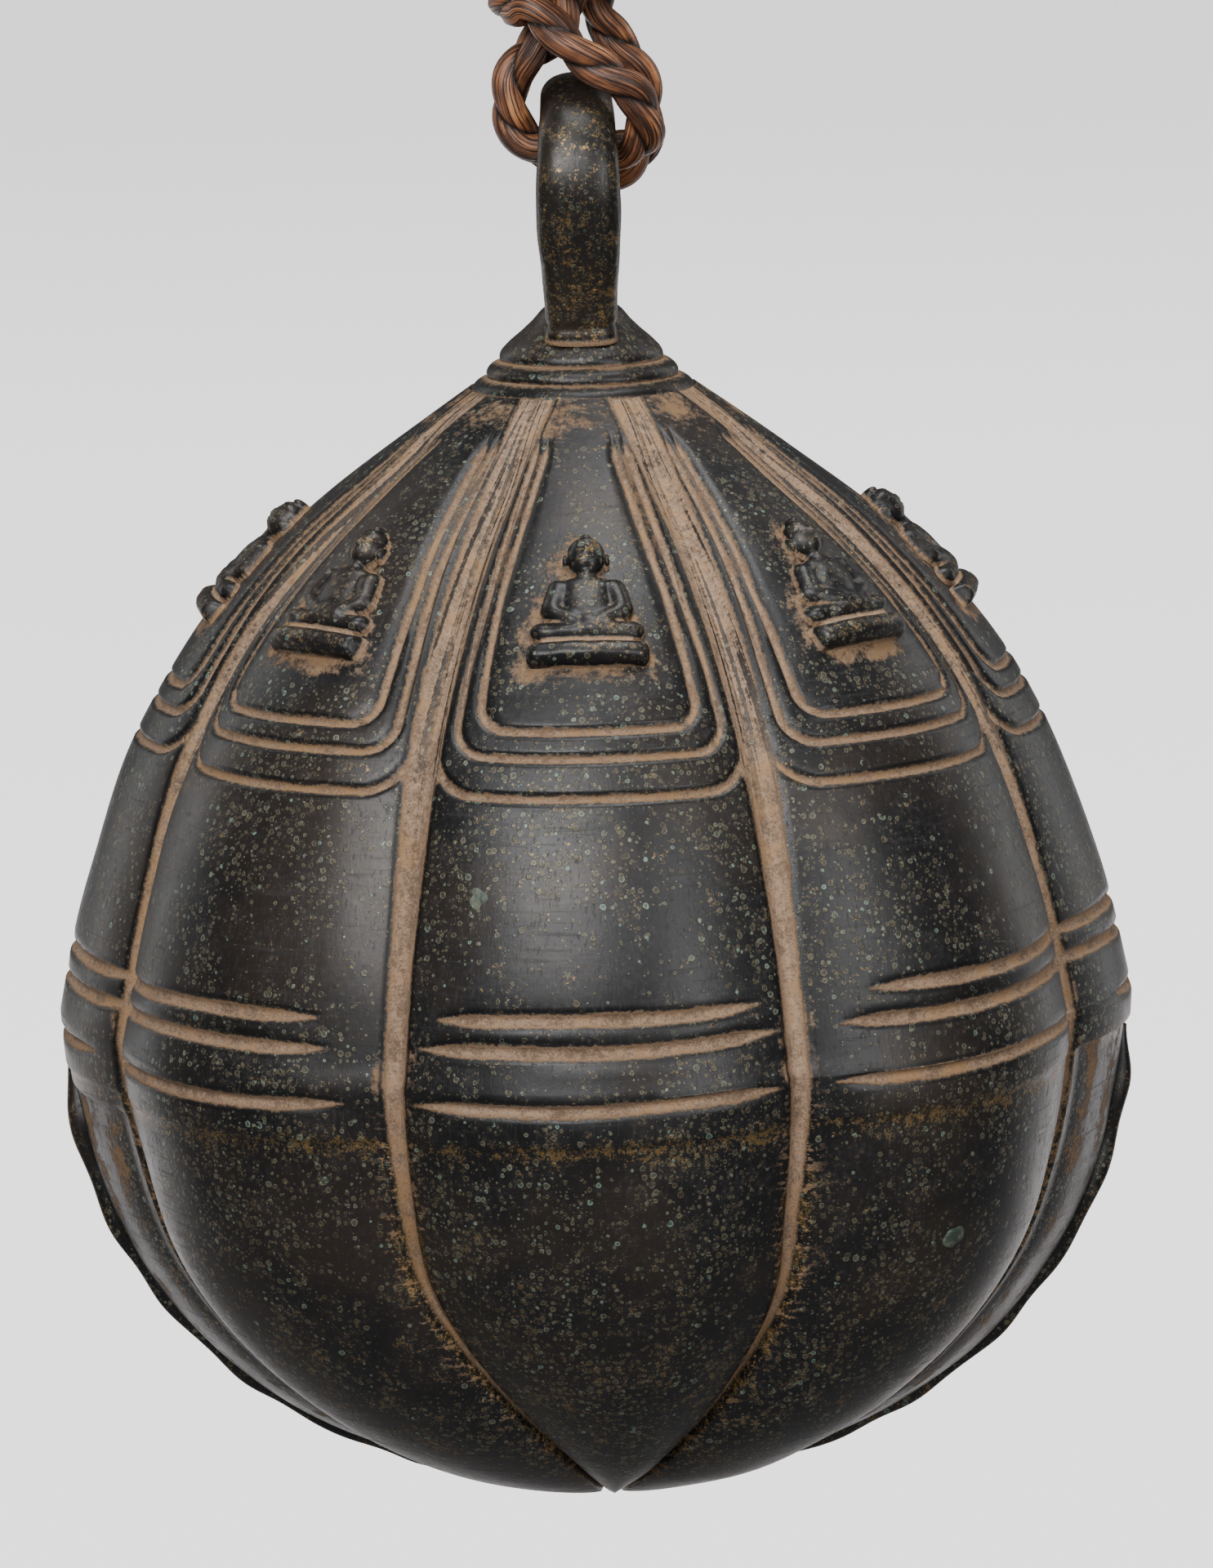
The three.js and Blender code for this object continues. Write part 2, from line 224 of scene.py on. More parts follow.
def makePiece(name, points, faces, material, layers=None, sharp=60):
    # a closed mesh from points in millimetres, with layers of values; edges past the sharp angle stay hard
    mesh = bpy.data.meshes.new(name)
    rings = []
    for part in faces:
        rings += part if isinstance(part, list) else part.tolist()
    mesh.from_pydata((np.asarray(points) * mm).tolist(), [], rings)
    shape = bmesh.new()
    shape.from_mesh(mesh)
    bmesh.ops.recalc_face_normals(shape, faces=shape.faces)
    shape.to_mesh(mesh)
    shape.free()
    mesh.shade_smooth()
    mesh.set_sharp_from_angle(angle=math.radians(sharp))
    for layer, values in (layers or {}).items():
        values = np.asarray(values, np.float32)
        kind, field = ("FLOAT", "value") if values.ndim == 1 else ("FLOAT_VECTOR", "vector")
        mesh.attributes.new(layer, kind, "POINT").data.foreach_set(field, values.ravel())
    mesh.materials.append(material)
    piece = bpy.data.objects.new(name, mesh)
    bpy.context.scene.collection.objects.link(piece)
    return piece


def smooth(low, high, value):
    # 3 t ** 2 - 2 t ** 3, where t is the share of the way from low to high
    share = np.clip((value - low) / (high - low), 0, 1)
    return share * share * (3 - 2 * share)


def handWobble(x, y, z, size):
    # slow unevenness of a hand-made surface: a sum of sines with unequal wavelengths, from -1 to 1
    a, b, c = x / size, y / size, z / size
    return (np.sin(1.1 * a + 2.3 * b + 0.7) + np.sin(1.9 * b - 1.3 * c + 2.1)
            + np.sin(2.3 * c + 1.7 * a + 4.2) + np.sin(3.1 * a - 2.7 * b + 1.9 * c)) / 4


def smoothPath(points, spacing):
    # a Catmull-Rom curve through the points, sampled at an even spacing
    points = np.asarray(points, float)
    padded = np.vstack([2 * points[0] - points[1], points, 2 * points[-1] - points[-2]])
    share = np.linspace(0, len(points) - 1, 40 * len(points))[:-1]
    index = share.astype(int)
    t = (share - index)[:, None]
    p0, p1, p2, p3 = (padded[index + k] for k in range(4))
    curve = 0.5 * (2 * p1 + (p2 - p0) * t + (2 * p0 - 5 * p1 + 4 * p2 - p3) * t ** 2
                   + (3 * p1 - p0 - 3 * p2 + p3) * t ** 3)
    curve = np.vstack([curve, points[-1]])
    along = np.concatenate([[0], np.cumsum(np.linalg.norm(np.diff(curve, axis=0), axis=1))])
    places = np.linspace(0, along[-1], int(round(along[-1] / spacing)) + 1)
    return np.stack([np.interp(places, along, curve[:, k]) for k in range(3)], axis=1), places


def pathFrames(path):
    # two directions square to the path at each point, carried along it without twist
    tangent = np.gradient(path, axis=0)
    tangent /= np.linalg.norm(tangent, axis=1)[:, None]
    side = np.zeros_like(path)
    first = np.cross(tangent[0], [0, 1, 0] if abs(tangent[0][1]) < 0.9 else [1, 0, 0])
    side[0] = first / np.linalg.norm(first)
    for i in range(1, len(path)):
        carried = side[i - 1] - tangent[i] * np.dot(side[i - 1], tangent[i])
        side[i] = carried / np.linalg.norm(carried)
    return side, np.cross(tangent, side)


# rope: the route is measured from the middle of the loop's round hole, in metres

ropeSize = dict(diameter=7.4, lay=20.0, around=64, spacing=0.42, crease=0.40, creaseShape=0.75,
                coilRadius=12.15, coilPitch=7.7, coilTurns=2.25, coilStart=235, coilBottom=32.0)
ropeRoute = [
    (-0.0034, 0.0029, 0.056), (-0.0034, 0.0029, 0.045), (-0.0034, 0.0029, 0.034),
    (-0.0046, 0.0034, 0.0285), (-0.0082, 0.0042, 0.0238), (-0.0115, 0.0047, 0.0192),
    (-0.0121, 0.0047, 0.0136), (-0.0109, 0.0046, 0.0089), (-0.0078, 0.0044, 0.0056),
    (-0.0038, 0.0043, 0.0041), (0.0005, 0.0044, 0.0027), (0.0048, 0.0045, 0.001), (0.009, 0.0044, 0.002),
    (0.0119, 0.0042, 0.0056), (0.0126, 0.004, 0.0105), (0.0124, 0.0039, 0.016), (0.0104, 0.0034, 0.0212),
    (0.007, 0.0024, 0.026), (0.0044, 0.0016, 0.031), (0.0042, 0.0015, 0.038), (0.0042, 0.0015, 0.047),
    (0.0052, 0.0011, 0.055), (0.0084, 0.0004, 0.062), (0.0105, 0, 0.071), (0.0076, 0, 0.0796),
    (0, 0, 0.083), (-0.0076, 0, 0.0796), (-0.0105, 0, 0.071), (-0.0082, -0.0016, 0.063),
    (-0.004, -0.0034, 0.0565), (-0.001, -0.0044, 0.049), (-0.0008, -0.0044, 0.041),
    (-0.001, -0.0044, 0.034), (-0.0026, -0.0044, 0.0288), (-0.0066, -0.0039, 0.0246),
    (-0.0113, -0.0037, 0.0202), (-0.0122, -0.0034, 0.0142), (-0.0114, -0.0033, 0.0104),
    (-0.0089, -0.0031, 0.0072), (-0.0046, -0.003, 0.0058), (0, -0.003, 0.0057), (0.0046, -0.0031, 0.0054),
    (0.0089, -0.0037, 0.0059), (0.0114, -0.0054, 0.0072), (0.0126, -0.0076, 0.01),
    (0.012, -0.0096, 0.0138), (0.0099, -0.0114, 0.0174), (0.0056, -0.0122, 0.0206),
    (0.0002, -0.0124, 0.0246),
]


def ropePath(size):
    # the route, and then the turns that the rope winds round its own strands
    angles = np.radians(size["coilStart"] - np.arange(0, 360 * size["coilTurns"] + 1, 15))
    turned = (angles[0] - angles) / (2 * math.pi)
    coil = np.stack([size["coilRadius"] * np.cos(angles), size["coilRadius"] * np.sin(angles),
                     size["coilBottom"] + size["coilPitch"] * turned], axis=1)
    points = np.vstack([np.array(ropeRoute) / mm, coil])
    path, along = smoothPath(points, size["spacing"])
    return path + [0, 0, loopZ], along


def twistedTube(path, along, radius, size):
    # radius * (1 - crease * (1 - |cos(angle from the ply's middle)| ** shape)), where the plies turn by a
    # whole turn for each length of lay
    side, up = pathFrames(path)
    angle = np.linspace(0, 2 * math.pi, size["around"], endpoint=False)[None, :]
    turn = -2 * math.pi * along[:, None] / size["lay"]
    bulge = np.abs(np.cos(angle - turn)) ** size["creaseShape"]
    strand = np.sin(11 * (angle - 0.25 * turn)) * 0.012 + np.sin(17 * (angle - 0.2 * turn) + 1.3) * 0.009
    end = np.minimum(along, along[-1] - along)[:, None]
    cap = np.sqrt(np.clip(1 - (1 - end / 1.2) ** 2, 0, 1)) * (end < 1.2) + (end >= 1.2)
    reach = radius * (1 - size["crease"] * (1 - bulge) + strand) * (0.82 + 0.18 * cap)
    points = (path[:, None, :] + reach[..., None] * (np.cos(angle)[..., None] * side[:, None, :]
                                                     + np.sin(angle)[..., None] * up[:, None, :]))
    fibre = np.stack([np.cos(angle - 0.22 * turn) * radius, np.sin(angle - 0.22 * turn) * radius,
                      np.broadcast_to(along[:, None], reach.shape)], axis=-1)
    return points, bulge, fibre


def caneMaterial():
    # split fibres that run with the plies, with painted shade in the gaps between the fibres and in the
    # hollows between the plies
    tree = Tree("twistedCane")
    fibre = tree.attribute("fibre", "Vector")
    streak = tree.noise(1.25, detail=3, roughness=0.7, vector=tree.scaled(fibre, (1, 1, 0.05)))
    split = tree.noise(2.1, detail=2, roughness=0.6, vector=tree.scaled(fibre, (1, 1, 0.025)))
    blotch = tree.noise(0.16, detail=3, vector=fibre)
    gap = split.step(0.40, 0.50)
    colour = tree.node("ShaderNodeValToRGB", dict(stops=[
        (0.34, (0.016, 0.007, 0.005)), (0.46, (0.085, 0.030, 0.014)), (0.56, (0.25, 0.095, 0.037)),
        (0.66, (0.46, 0.21, 0.085)), (0.80, (0.72, 0.46, 0.25))]), streak * 0.62 + blotch * 0.42)
    crease = tree.attribute("plyBulge").step(0.10, 0.55)
    # painted shade: near-black in the gaps between the split fibres
    colour = tree.mix(gap, (0.030, 0.011, 0.006), colour)
    # painted shade: darker still in the hollows between the two plies
    colour = tree.mix(crease, (0.012, 0.005, 0.003), colour)
    height = streak * 0.5 + gap * 0.9
    return tree.finish(Base_Color=colour, Roughness=0.60 - streak * 0.25, Normal=tree.bump(height, 0.00028))


def makeRope(size, path, along, material):
    # the twisted tube along the path, closed at both ends by fans
    points, bulge, fibre = twistedTube(path, along, size["diameter"] / 2, size)
    rows, columns = bulge.shape
    ends = np.stack([path[0], path[-1]])
    layers = dict(plyBulge=np.append(bulge.ravel(), [0.3, 0.3]),
                  fibre=np.vstack([fibre.reshape(-1, 3), fibre[0].mean(0), fibre[-1].mean(0)]))
    points = np.vstack([points.reshape(-1, 3), ends])
    return makePiece("cane_rope", points, tubeFaces(rows, columns), material, layers)


path, along = ropePath(ropeSize)
rope = makeRope(ropeSize, path, along, caneMaterial())
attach(rope, "sling")
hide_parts("rope", "rope_lashing")
tuple(path[0] * mm)
float(along[-1] * mm)
(path[::6] * mm).tolist()
print("rope made,", round(float(along[-1])), "mm long")


# bell shell: heights are measured from its widest place, in millimetres

shellSize = dict(radius=100, depth=94, squareness=2.17, wall=3.5, halfLobe=22.5, slit=6, slitTop=-42,
                 holeRadius=5.75)
# the shoulder's line, as shares of the radius and of the shoulder's height
shoulderPoints = [(0.21, 1), (0.385, 0.89), (0.575, 0.756), (0.735, 0.6), (0.85, 0.427), (0.943, 0.2),
                  (0.995, 0)]
panelFoot = [60.7, 56.3, 49.7]         # lowest heights of the three lines round each panel
bandLines = [12.4, 7.0, -3.0]          # heights of the three lines round the waist
ledgeHeight = -9.7                     # top of the set-back part under the waist
# how far each of the waist's lines reaches across a lobe, to the left and right of its middle
bandReach = {5: [(1.2, 0.66), (1.2, 0.72), (1.2, 0.80)], 6: [(0.82, 0.86), (0.90, 0.95), (0.93, 0.93)],
             7: [(0.66, 1.2), (0.82, 1.2), (0.87, 1.2)], 0: [(1.1, 1.2), (1.1, 0.9), (0.6, 1.2)],
             4: [(0.9, 1.1), (1.2, 1.1), (1.2, 0.8)]}
evenReach = [(0.80, 0.84), (0.92, 0.88), (0.90, 0.94)]   # reach to the left and right on the other lobes


def crestLine(size):
    # a spline over the shoulder, then radius = R cos(t) ** (2/n) and height = -D sin(t) ** (2/n)
    upper = np.array(shoulderPoints) * [size["radius"], shoulderHeight]
    curve, _ = smoothPath(np.column_stack([upper, np.zeros(len(upper))]), 0.4)
    turn = np.linspace(0, math.pi / 2, 500)[1:]
    power = 2 / size["squareness"]
    lower = np.stack([size["radius"] * np.abs(np.cos(turn)) ** power,
                      -size["depth"] * np.sin(turn) ** power], axis=1)
    lower[-1, 0] = 0
    line = np.vstack([curve[:, :2], lower])
    return line, np.concatenate([[0], np.cumsum(np.linalg.norm(np.diff(line, axis=0), axis=1))])


crest, crestLength = crestLine(shellSize)
crestTangent = np.gradient(crest, crestLength, axis=0)
crestTangent /= np.linalg.norm(crestTangent, axis=1)[:, None]


def onCrest(length):
    # radius, height and outward direction of the crest line at a length along it
    values = [crest[:, 0], crest[:, 1], -crestTangent[:, 1], crestTangent[:, 0]]
    return [np.interp(length, crestLength, value) for value in values]


def lengthAt(height):
    # length along the crest line where it is at a height
    return np.interp(-np.asarray(height, float), -crest[:, 1], crestLength)


def lobeShape(across, height):
    # share of the crest's radius left at a place across a lobe: 1 - depth * |across| ** power
    low = smooth(0, 40, -height)
    depth = (0.062 + 0.023 * low) * (1 - 0.85 * smooth(97, 110, height))
    return 1 - depth * np.abs(across) ** (2.0 + 0.35 * low)


def bodyPoints(azimuth, length, lift):
    # points over the lobed body without its grooves; azimuth in degrees
    radius, height, outR, outZ = onCrest(length)
    across = (azimuth + shellSize["halfLobe"]) % (2 * shellSize["halfLobe"]) / shellSize["halfLobe"] - 1
    reach = (radius + lift * outR) * lobeShape(across, height)
    angle = np.radians(azimuth)
    return np.stack([reach * np.cos(angle), reach * np.sin(angle), height + lift * outZ + waistZ], axis=-1)


def rowLengths():
    # lengths of the rows along the crest line, close together where something is cut across the lobes
    fine = np.linspace(0, crestLength[-1], 6000)
    height = onCrest(fine)[1]
    spacing = np.full_like(fine, 2.5)
    spacing = np.where((height > 49) & (height < 68), 1.0, spacing)
    cuts = [(place, 1.7, 0.5) for place in panelFoot] + [(place, 1.6, 0.45) for place in bandLines]
    for place, reach, step in cuts + [(ledgeHeight, 1.2, 0.5)]:
        spacing = np.where(np.abs(height - place) < reach, step, spacing)
    hole = lengthAt(shellSize["slitTop"])
    spacing = np.where(np.abs(fine - hole) < 6.2, 0.9, spacing)
    count = np.concatenate([[0], np.cumsum(np.diff(fine) / spacing[1:])])
    rows = np.interp(np.linspace(0, count[-1], int(count[-1])), count, fine)
    start = hole - shellSize["holeRadius"]
    rows[np.argmin(np.abs(rows - start))] = start
    return rows


def columnPlaces(side, fine):
    # centre of the lobe, direction and share across it for each column of the front (side -1) or back half
    if fine:
        share = np.concatenate([np.linspace(0, 0.60, 8)[:-1], np.linspace(0.60, 0.70, 6)[:-1], [0.70],
                                np.linspace(0.745, 0.835, 6)[:-1], np.linspace(0.835, 0.90, 3)[:-1],
                                np.linspace(0.90, 1, 5)])
    else:
        share = np.linspace(0, 1, 5)
    start = -180 if side < 0 else 0
    centre, sign, place = [], [], []
    for j in range(8):
        rising = j % 2 == 0
        values = share[:-1] if rising else share[::-1][:-1]
        centre += [start + shellSize["halfLobe"] * (j if rising else j + 1)] * len(values)
        sign += [1 if rising else -1] * len(values)
        place += list(values)
    return np.array(centre + [start + 180]), np.array(sign + [1]), np.array(place + [0])


def panelSides(height):
    # shares across the lobe of the inner and outer panel lines, and how much these hold at a height
    hold = smooth(44, 60, height)
    inner = np.interp(height, [58, 70, 82, 100, 112], [0.665, 0.66, 0.64, 0.54, 0.44])
    outer = np.interp(height, [56, 70, 78, 100, 112], [0.81, 0.80, 0.77, 0.69, 0.62])
    return 0.65 + (inner - 0.65) * hold, 0.79 + (outer - 0.79) * hold


def trackLine(across, below, side, bottom, corner):
    # distance from a line down both sides and across the bottom, with round corners; inside is negative
    u, v = np.abs(across) - side + corner, below - bottom + corner
    return np.hypot(np.maximum(u, 0), np.maximum(v, 0)) + np.minimum(np.maximum(u, v), 0) - corner


def cutLines(panelAcross, halfWidth, below, nominal, lobe):
    # distance to the edge of the nearest line round the panels or the waist, less than zero inside it, and
    # the depth of the cut there: depth * (1 - smooth step of the distance to the line's middle)
    inner, outer = panelSides(nominal)
    edges, cut = [], np.zeros_like(nominal)
    top = 1 - smooth(104, 110, nominal)
    low = 1 - smooth(58, 66, nominal)
    rounds = [(inner, 5, top), (outer, 6, top), (0.93 + 0 * outer, 9, low)]
    for bottom, (sideShare, corner, keep) in zip(panelFoot, rounds):
        across, side = panelAcross * halfWidth, sideShare * halfWidth
        line = np.abs(trackLine(across, below, side, lengthAt(bottom), corner)) + (1 - keep) * 4
        edges.append(line - 0.82)
        cut = np.maximum(cut, 0.95 * keep * (1 - smooth(0.3, 1.25, line)))
    for i, level in enumerate(bandLines):
        ends = np.array([bandReach.get(int(k), evenReach)[i] for k in lobe])
        end = np.where(panelAcross < 0, ends[:, 0], ends[:, 1])
        taper = 1 - smooth(end - 0.34, end, np.abs(panelAcross))
        wave = 0.25 * np.sin(4 * panelAcross + lobe + i)
        line = np.abs(nominal - level + wave)
        edges.append(line - 1.3 * taper ** 0.6 + (taper < 0.02) * 3)
        cut = np.maximum(cut, 1.05 * taper * (1 - smooth(0.3, 1.5, line)))
    return np.minimum.reduce(edges), cut


def dustSmear(across, below, nominal, share, fromValley, slitLobe):
    # the largest of the shares of dust round and under the figures, where the band meets the valleys, in
    # bands over the slit's lobes and below the neck; each falls off by a smooth step of a distance
    v = lengthAt(71) - below
    figureHalf = np.interp(v, [-1, 4, 6, 10, 15, 18.5, 20, 24, 27.5], [11, 11, 9.8, 8, 7, 3.4, 3.8, 3.4, 0])
    fromFigure = np.hypot(np.maximum(np.abs(across) - figureHalf, 0), np.maximum(np.abs(v - 13.3) - 14.3, 0))
    underFigure = np.hypot(np.maximum(np.abs(across) - 8, 0), v + 2)
    smear = 0.70 * (1 - smooth(0, 5.5, fromFigure)) + 0.25 * (1 - smooth(0, 3, underFigure))
    meeting = np.hypot(fromValley / 7, (nominal - 3) / 14)
    smear = np.maximum(smear, 0.75 * (1 - smooth(0.35, 1.1, meeting)))
    bands = 0.5 + 0.3 * np.cos(share * 19) - 0.25 * smooth(20, 50, -nominal)
    smear = np.maximum(smear, bands * (slitLobe > 0) * smooth(-0.5, 1.5, -nominal - slitLobe))
    return np.maximum(smear, 0.62 * smooth(100, 110, nominal))


def halfShell(side, fine, rows, wallDepth):
    # one half of the outer face: radius = (crest radius + lift) * lobe shape, where lift is less at each cut;
    # or of the inner face, which lies a wall below
    centre, sign, place = columnPlaces(side, fine)
    length = rows[:, None] + np.zeros(len(place))[None, :]
    nominal = onCrest(rows)[1][:, None]
    inner, outer = panelSides(nominal)
    share = np.where(place < 0.65, place / 0.65 * inner,
                     np.where(place < 0.79, inner + (place - 0.65) / 0.14 * (outer - inner),
                              outer + (place - 0.79) / 0.21 * (1 - outer)))
    panelAcross = sign * share
    drift = -0.098 * smooth(55, 95, nominal) * (1 - share)
    azimuth = centre + (panelAcross + drift) * shellSize["halfLobe"]
    gather = 27 * (np.clip(-nominal - 35, 0, 55) / 53) ** 1.7
    azimuth = azimuth + (gather * np.sin(np.radians(2 * azimuth))
                         + 2.5 * smooth(25, 75, -nominal) * np.sin(np.radians(azimuth)) ** 2)
    tilt = smooth(-26, -8, nominal) * (1 - smooth(17, 36, nominal))
    length = length - 2.5 * np.cos(np.radians(azimuth)) * tilt
    radius, height, outR, outZ = onCrest(length)
    halfWidth = radius * math.radians(shellSize["halfLobe"])
    across, below = panelAcross * halfWidth, rows[:, None] + 0 * share
    nominal = nominal + 0 * share

    lobe = np.round(centre / 45) % 8
    groove, cut = cutLines(panelAcross, halfWidth, below, nominal, lobe)

    # valleys between the lobes
    fromValley = (1 - share) * halfWidth
    high = smooth(15, 60, nominal)
    valleyWidth = 2.3 + 1.1 * high
    valleyCut = (1.5 + 0.4 * high) * (1 - smooth(0.25 * valleyWidth, 1.25 * valleyWidth, fromValley))
    valleyCut = valleyCut * smooth(1, 14, radius) * (1 - 0.8 * smooth(101, 110, nominal))
    valley = fromValley - valleyWidth * (0.35 + 0.65 * smooth(-70, 20, nominal))

    # ledge under the band, and the set-back sides that carry the slit
    ledge = 0.6 * smooth(9.2, 10.6, -nominal) * (1 - smooth(16, 48, -nominal)) * (1 - smooth(0.86, 1, share))
    slitLobe = (lobe == 0) * 9.3 + (lobe == 4) * 14.5
    setBack = (slitLobe > 0) * (0.6 + 1.1 * smooth(0.15, 0.5, share)) * smooth(0, 1.4, -nominal - slitLobe)
    setBack = setBack * (1 - smooth(0.8, 0.97, share))
    angle = np.radians(azimuth)
    wobble = 0.4 * handWobble(radius * np.cos(angle), radius * np.sin(angle), height, 17)
    lift = wobble - np.maximum(cut, valleyCut) - ledge - setBack
    if not fine:
        lift = -wallDepth + 0 * lift
    scale = lobeShape(share, nominal)
    reach = (radius + lift * outR) * scale
    reach[-1] = 0
    points = np.stack([reach * np.cos(angle), reach * np.sin(angle), height + lift * outZ], axis=-1)
    opened = slitHalfWidth(rows)[:, None]
    points[..., 1] += side * opened * np.maximum(0, 1 - np.abs(points[..., 1]) / 9)
    points[-1] = points[-1, 0]

    smear = dustSmear(across, below, nominal, share, fromValley, slitLobe)
    rub = (1 - smooth(0.2, 4.0, np.abs(nominal + 11))) * 0.45 + 0.16 * smooth(10, 60, -nominal)
    rub = np.maximum(rub, 0.5 * (1 - smooth(0.2, 2.2, np.abs(valley - 0.8))) * smooth(5, 30, -nominal))
    chart = np.stack([panelAcross * 30, below, (lobe * 50 + side * 7)[None, :] + 0 * share], axis=-1)
    layers = dict(dustEdge=np.clip(np.minimum(groove, valley), -3, 8), smear=smear, rub=rub, chart=chart,
                  streaks=smooth(25, 70, nominal) * (1 - smooth(3, 9, fromValley)),
                  strokes=(1 - smooth(1, 6.5, fromValley)) * smooth(-5, 20, -nominal))
    return points, layers


def slitHalfWidth(rows):
    # half the slit's opening: a round hole at its end, then even
    fromHole = rows - lengthAt(shellSize["slitTop"])
    hole = np.sqrt(np.clip(shellSize["holeRadius"] ** 2 - fromHole ** 2, 0, None))
    return np.where(fromHole > 0, np.maximum(hole, shellSize["slit"] / 2), hole)


def weld(points, faces):
    # joins points that lie in one place, and leaves out faces that this closes up
    keys = np.round(points * 2000).astype(np.int64)
    _, first, index = np.unique(keys, axis=0, return_index=True, return_inverse=True)
    index = index.ravel()
    kept = []
    for face in index[faces].tolist():
        ring = [p for k, p in enumerate(face) if p != face[k - 1]]
        if len(set(ring)) == len(ring) > 2:
            kept.append(ring)
    return points[first], kept, first


def makeShell(size, material):
    # outer and inner faces of both halves, joined along the slit and round the neck
    rows = rowLengths()
    points, faces, layers, start = [], [], [], 0
    slitRows = np.nonzero(slitHalfWidth(rows) > 0)[0]
    firstSlit = slitRows[0] - 1
    for side in (-1, 1):
        borders = []
        for fine in (True, False):
            grid, values = halfShell(side, fine, rows, size["wall"])
            n, m = grid.shape[:2]
            points.append(grid.reshape(-1, 3))
            layers.append({key: value.reshape(n * m, *value.shape[2:]) for key, value in values.items()})
            faces.append(gridFaces(n, m, start=start))
            index = start + np.arange(n * m).reshape(n, m)
            borders.append((index[:, 0], index[:, -1], index[0]))
            start += n * m
        outer, inner = borders
        for k in (0, 1):
            a, b = outer[k][firstSlit:], inner[k][firstSlit:]
            faces.append(np.stack([a[:-1], a[1:], b[1:], b[:-1]], axis=1))
        # a flat ring closes the wall at the neck: each coarse column meets a run of fine ones
        fineTop, coarseTop = outer[2], inner[2]
        match = np.round(np.linspace(0, len(coarseTop) - 1, len(fineTop))).astype(int)
        under = coarseTop[match]
        faces.append(np.stack([fineTop[:-1], fineTop[1:], under[1:], under[:-1]], axis=1))
    points = np.vstack(points) + [0, 0, waistZ]
    joined = {key: np.concatenate([part[key] for part in layers]) for key in layers[0]}
    points, faces, first = weld(points, np.vstack(faces))
    joined = {key: value[first] for key, value in joined.items()}
    return makePiece("lobed_shell", points, [faces], material, joined, sharp=50)


# bronze

def voronoiSpots(tree, place, scale, inner, outer, density):
    # round spots from the cells of a Voronoi pattern: a ring, and a random number for each spot
    near = tree.node("ShaderNodeTexVoronoi", {}, Vector=place, Scale=scale, Randomness=0.85,
                     output="Distance")
    chance = tree.split(near.other("Color"), 0)
    size = tree.split(near.other("Color"), 1) * 0.45 + 0.62
    spread = near / size
    ring = spread.step(inner, inner + 0.05) * (1 - spread.step(outer, outer + 0.06))
    tint = tree.split(near.other("Color"), 2)
    return ring, spread.step(outer + 0.06, outer), chance.math("LESS_THAN", density), tint


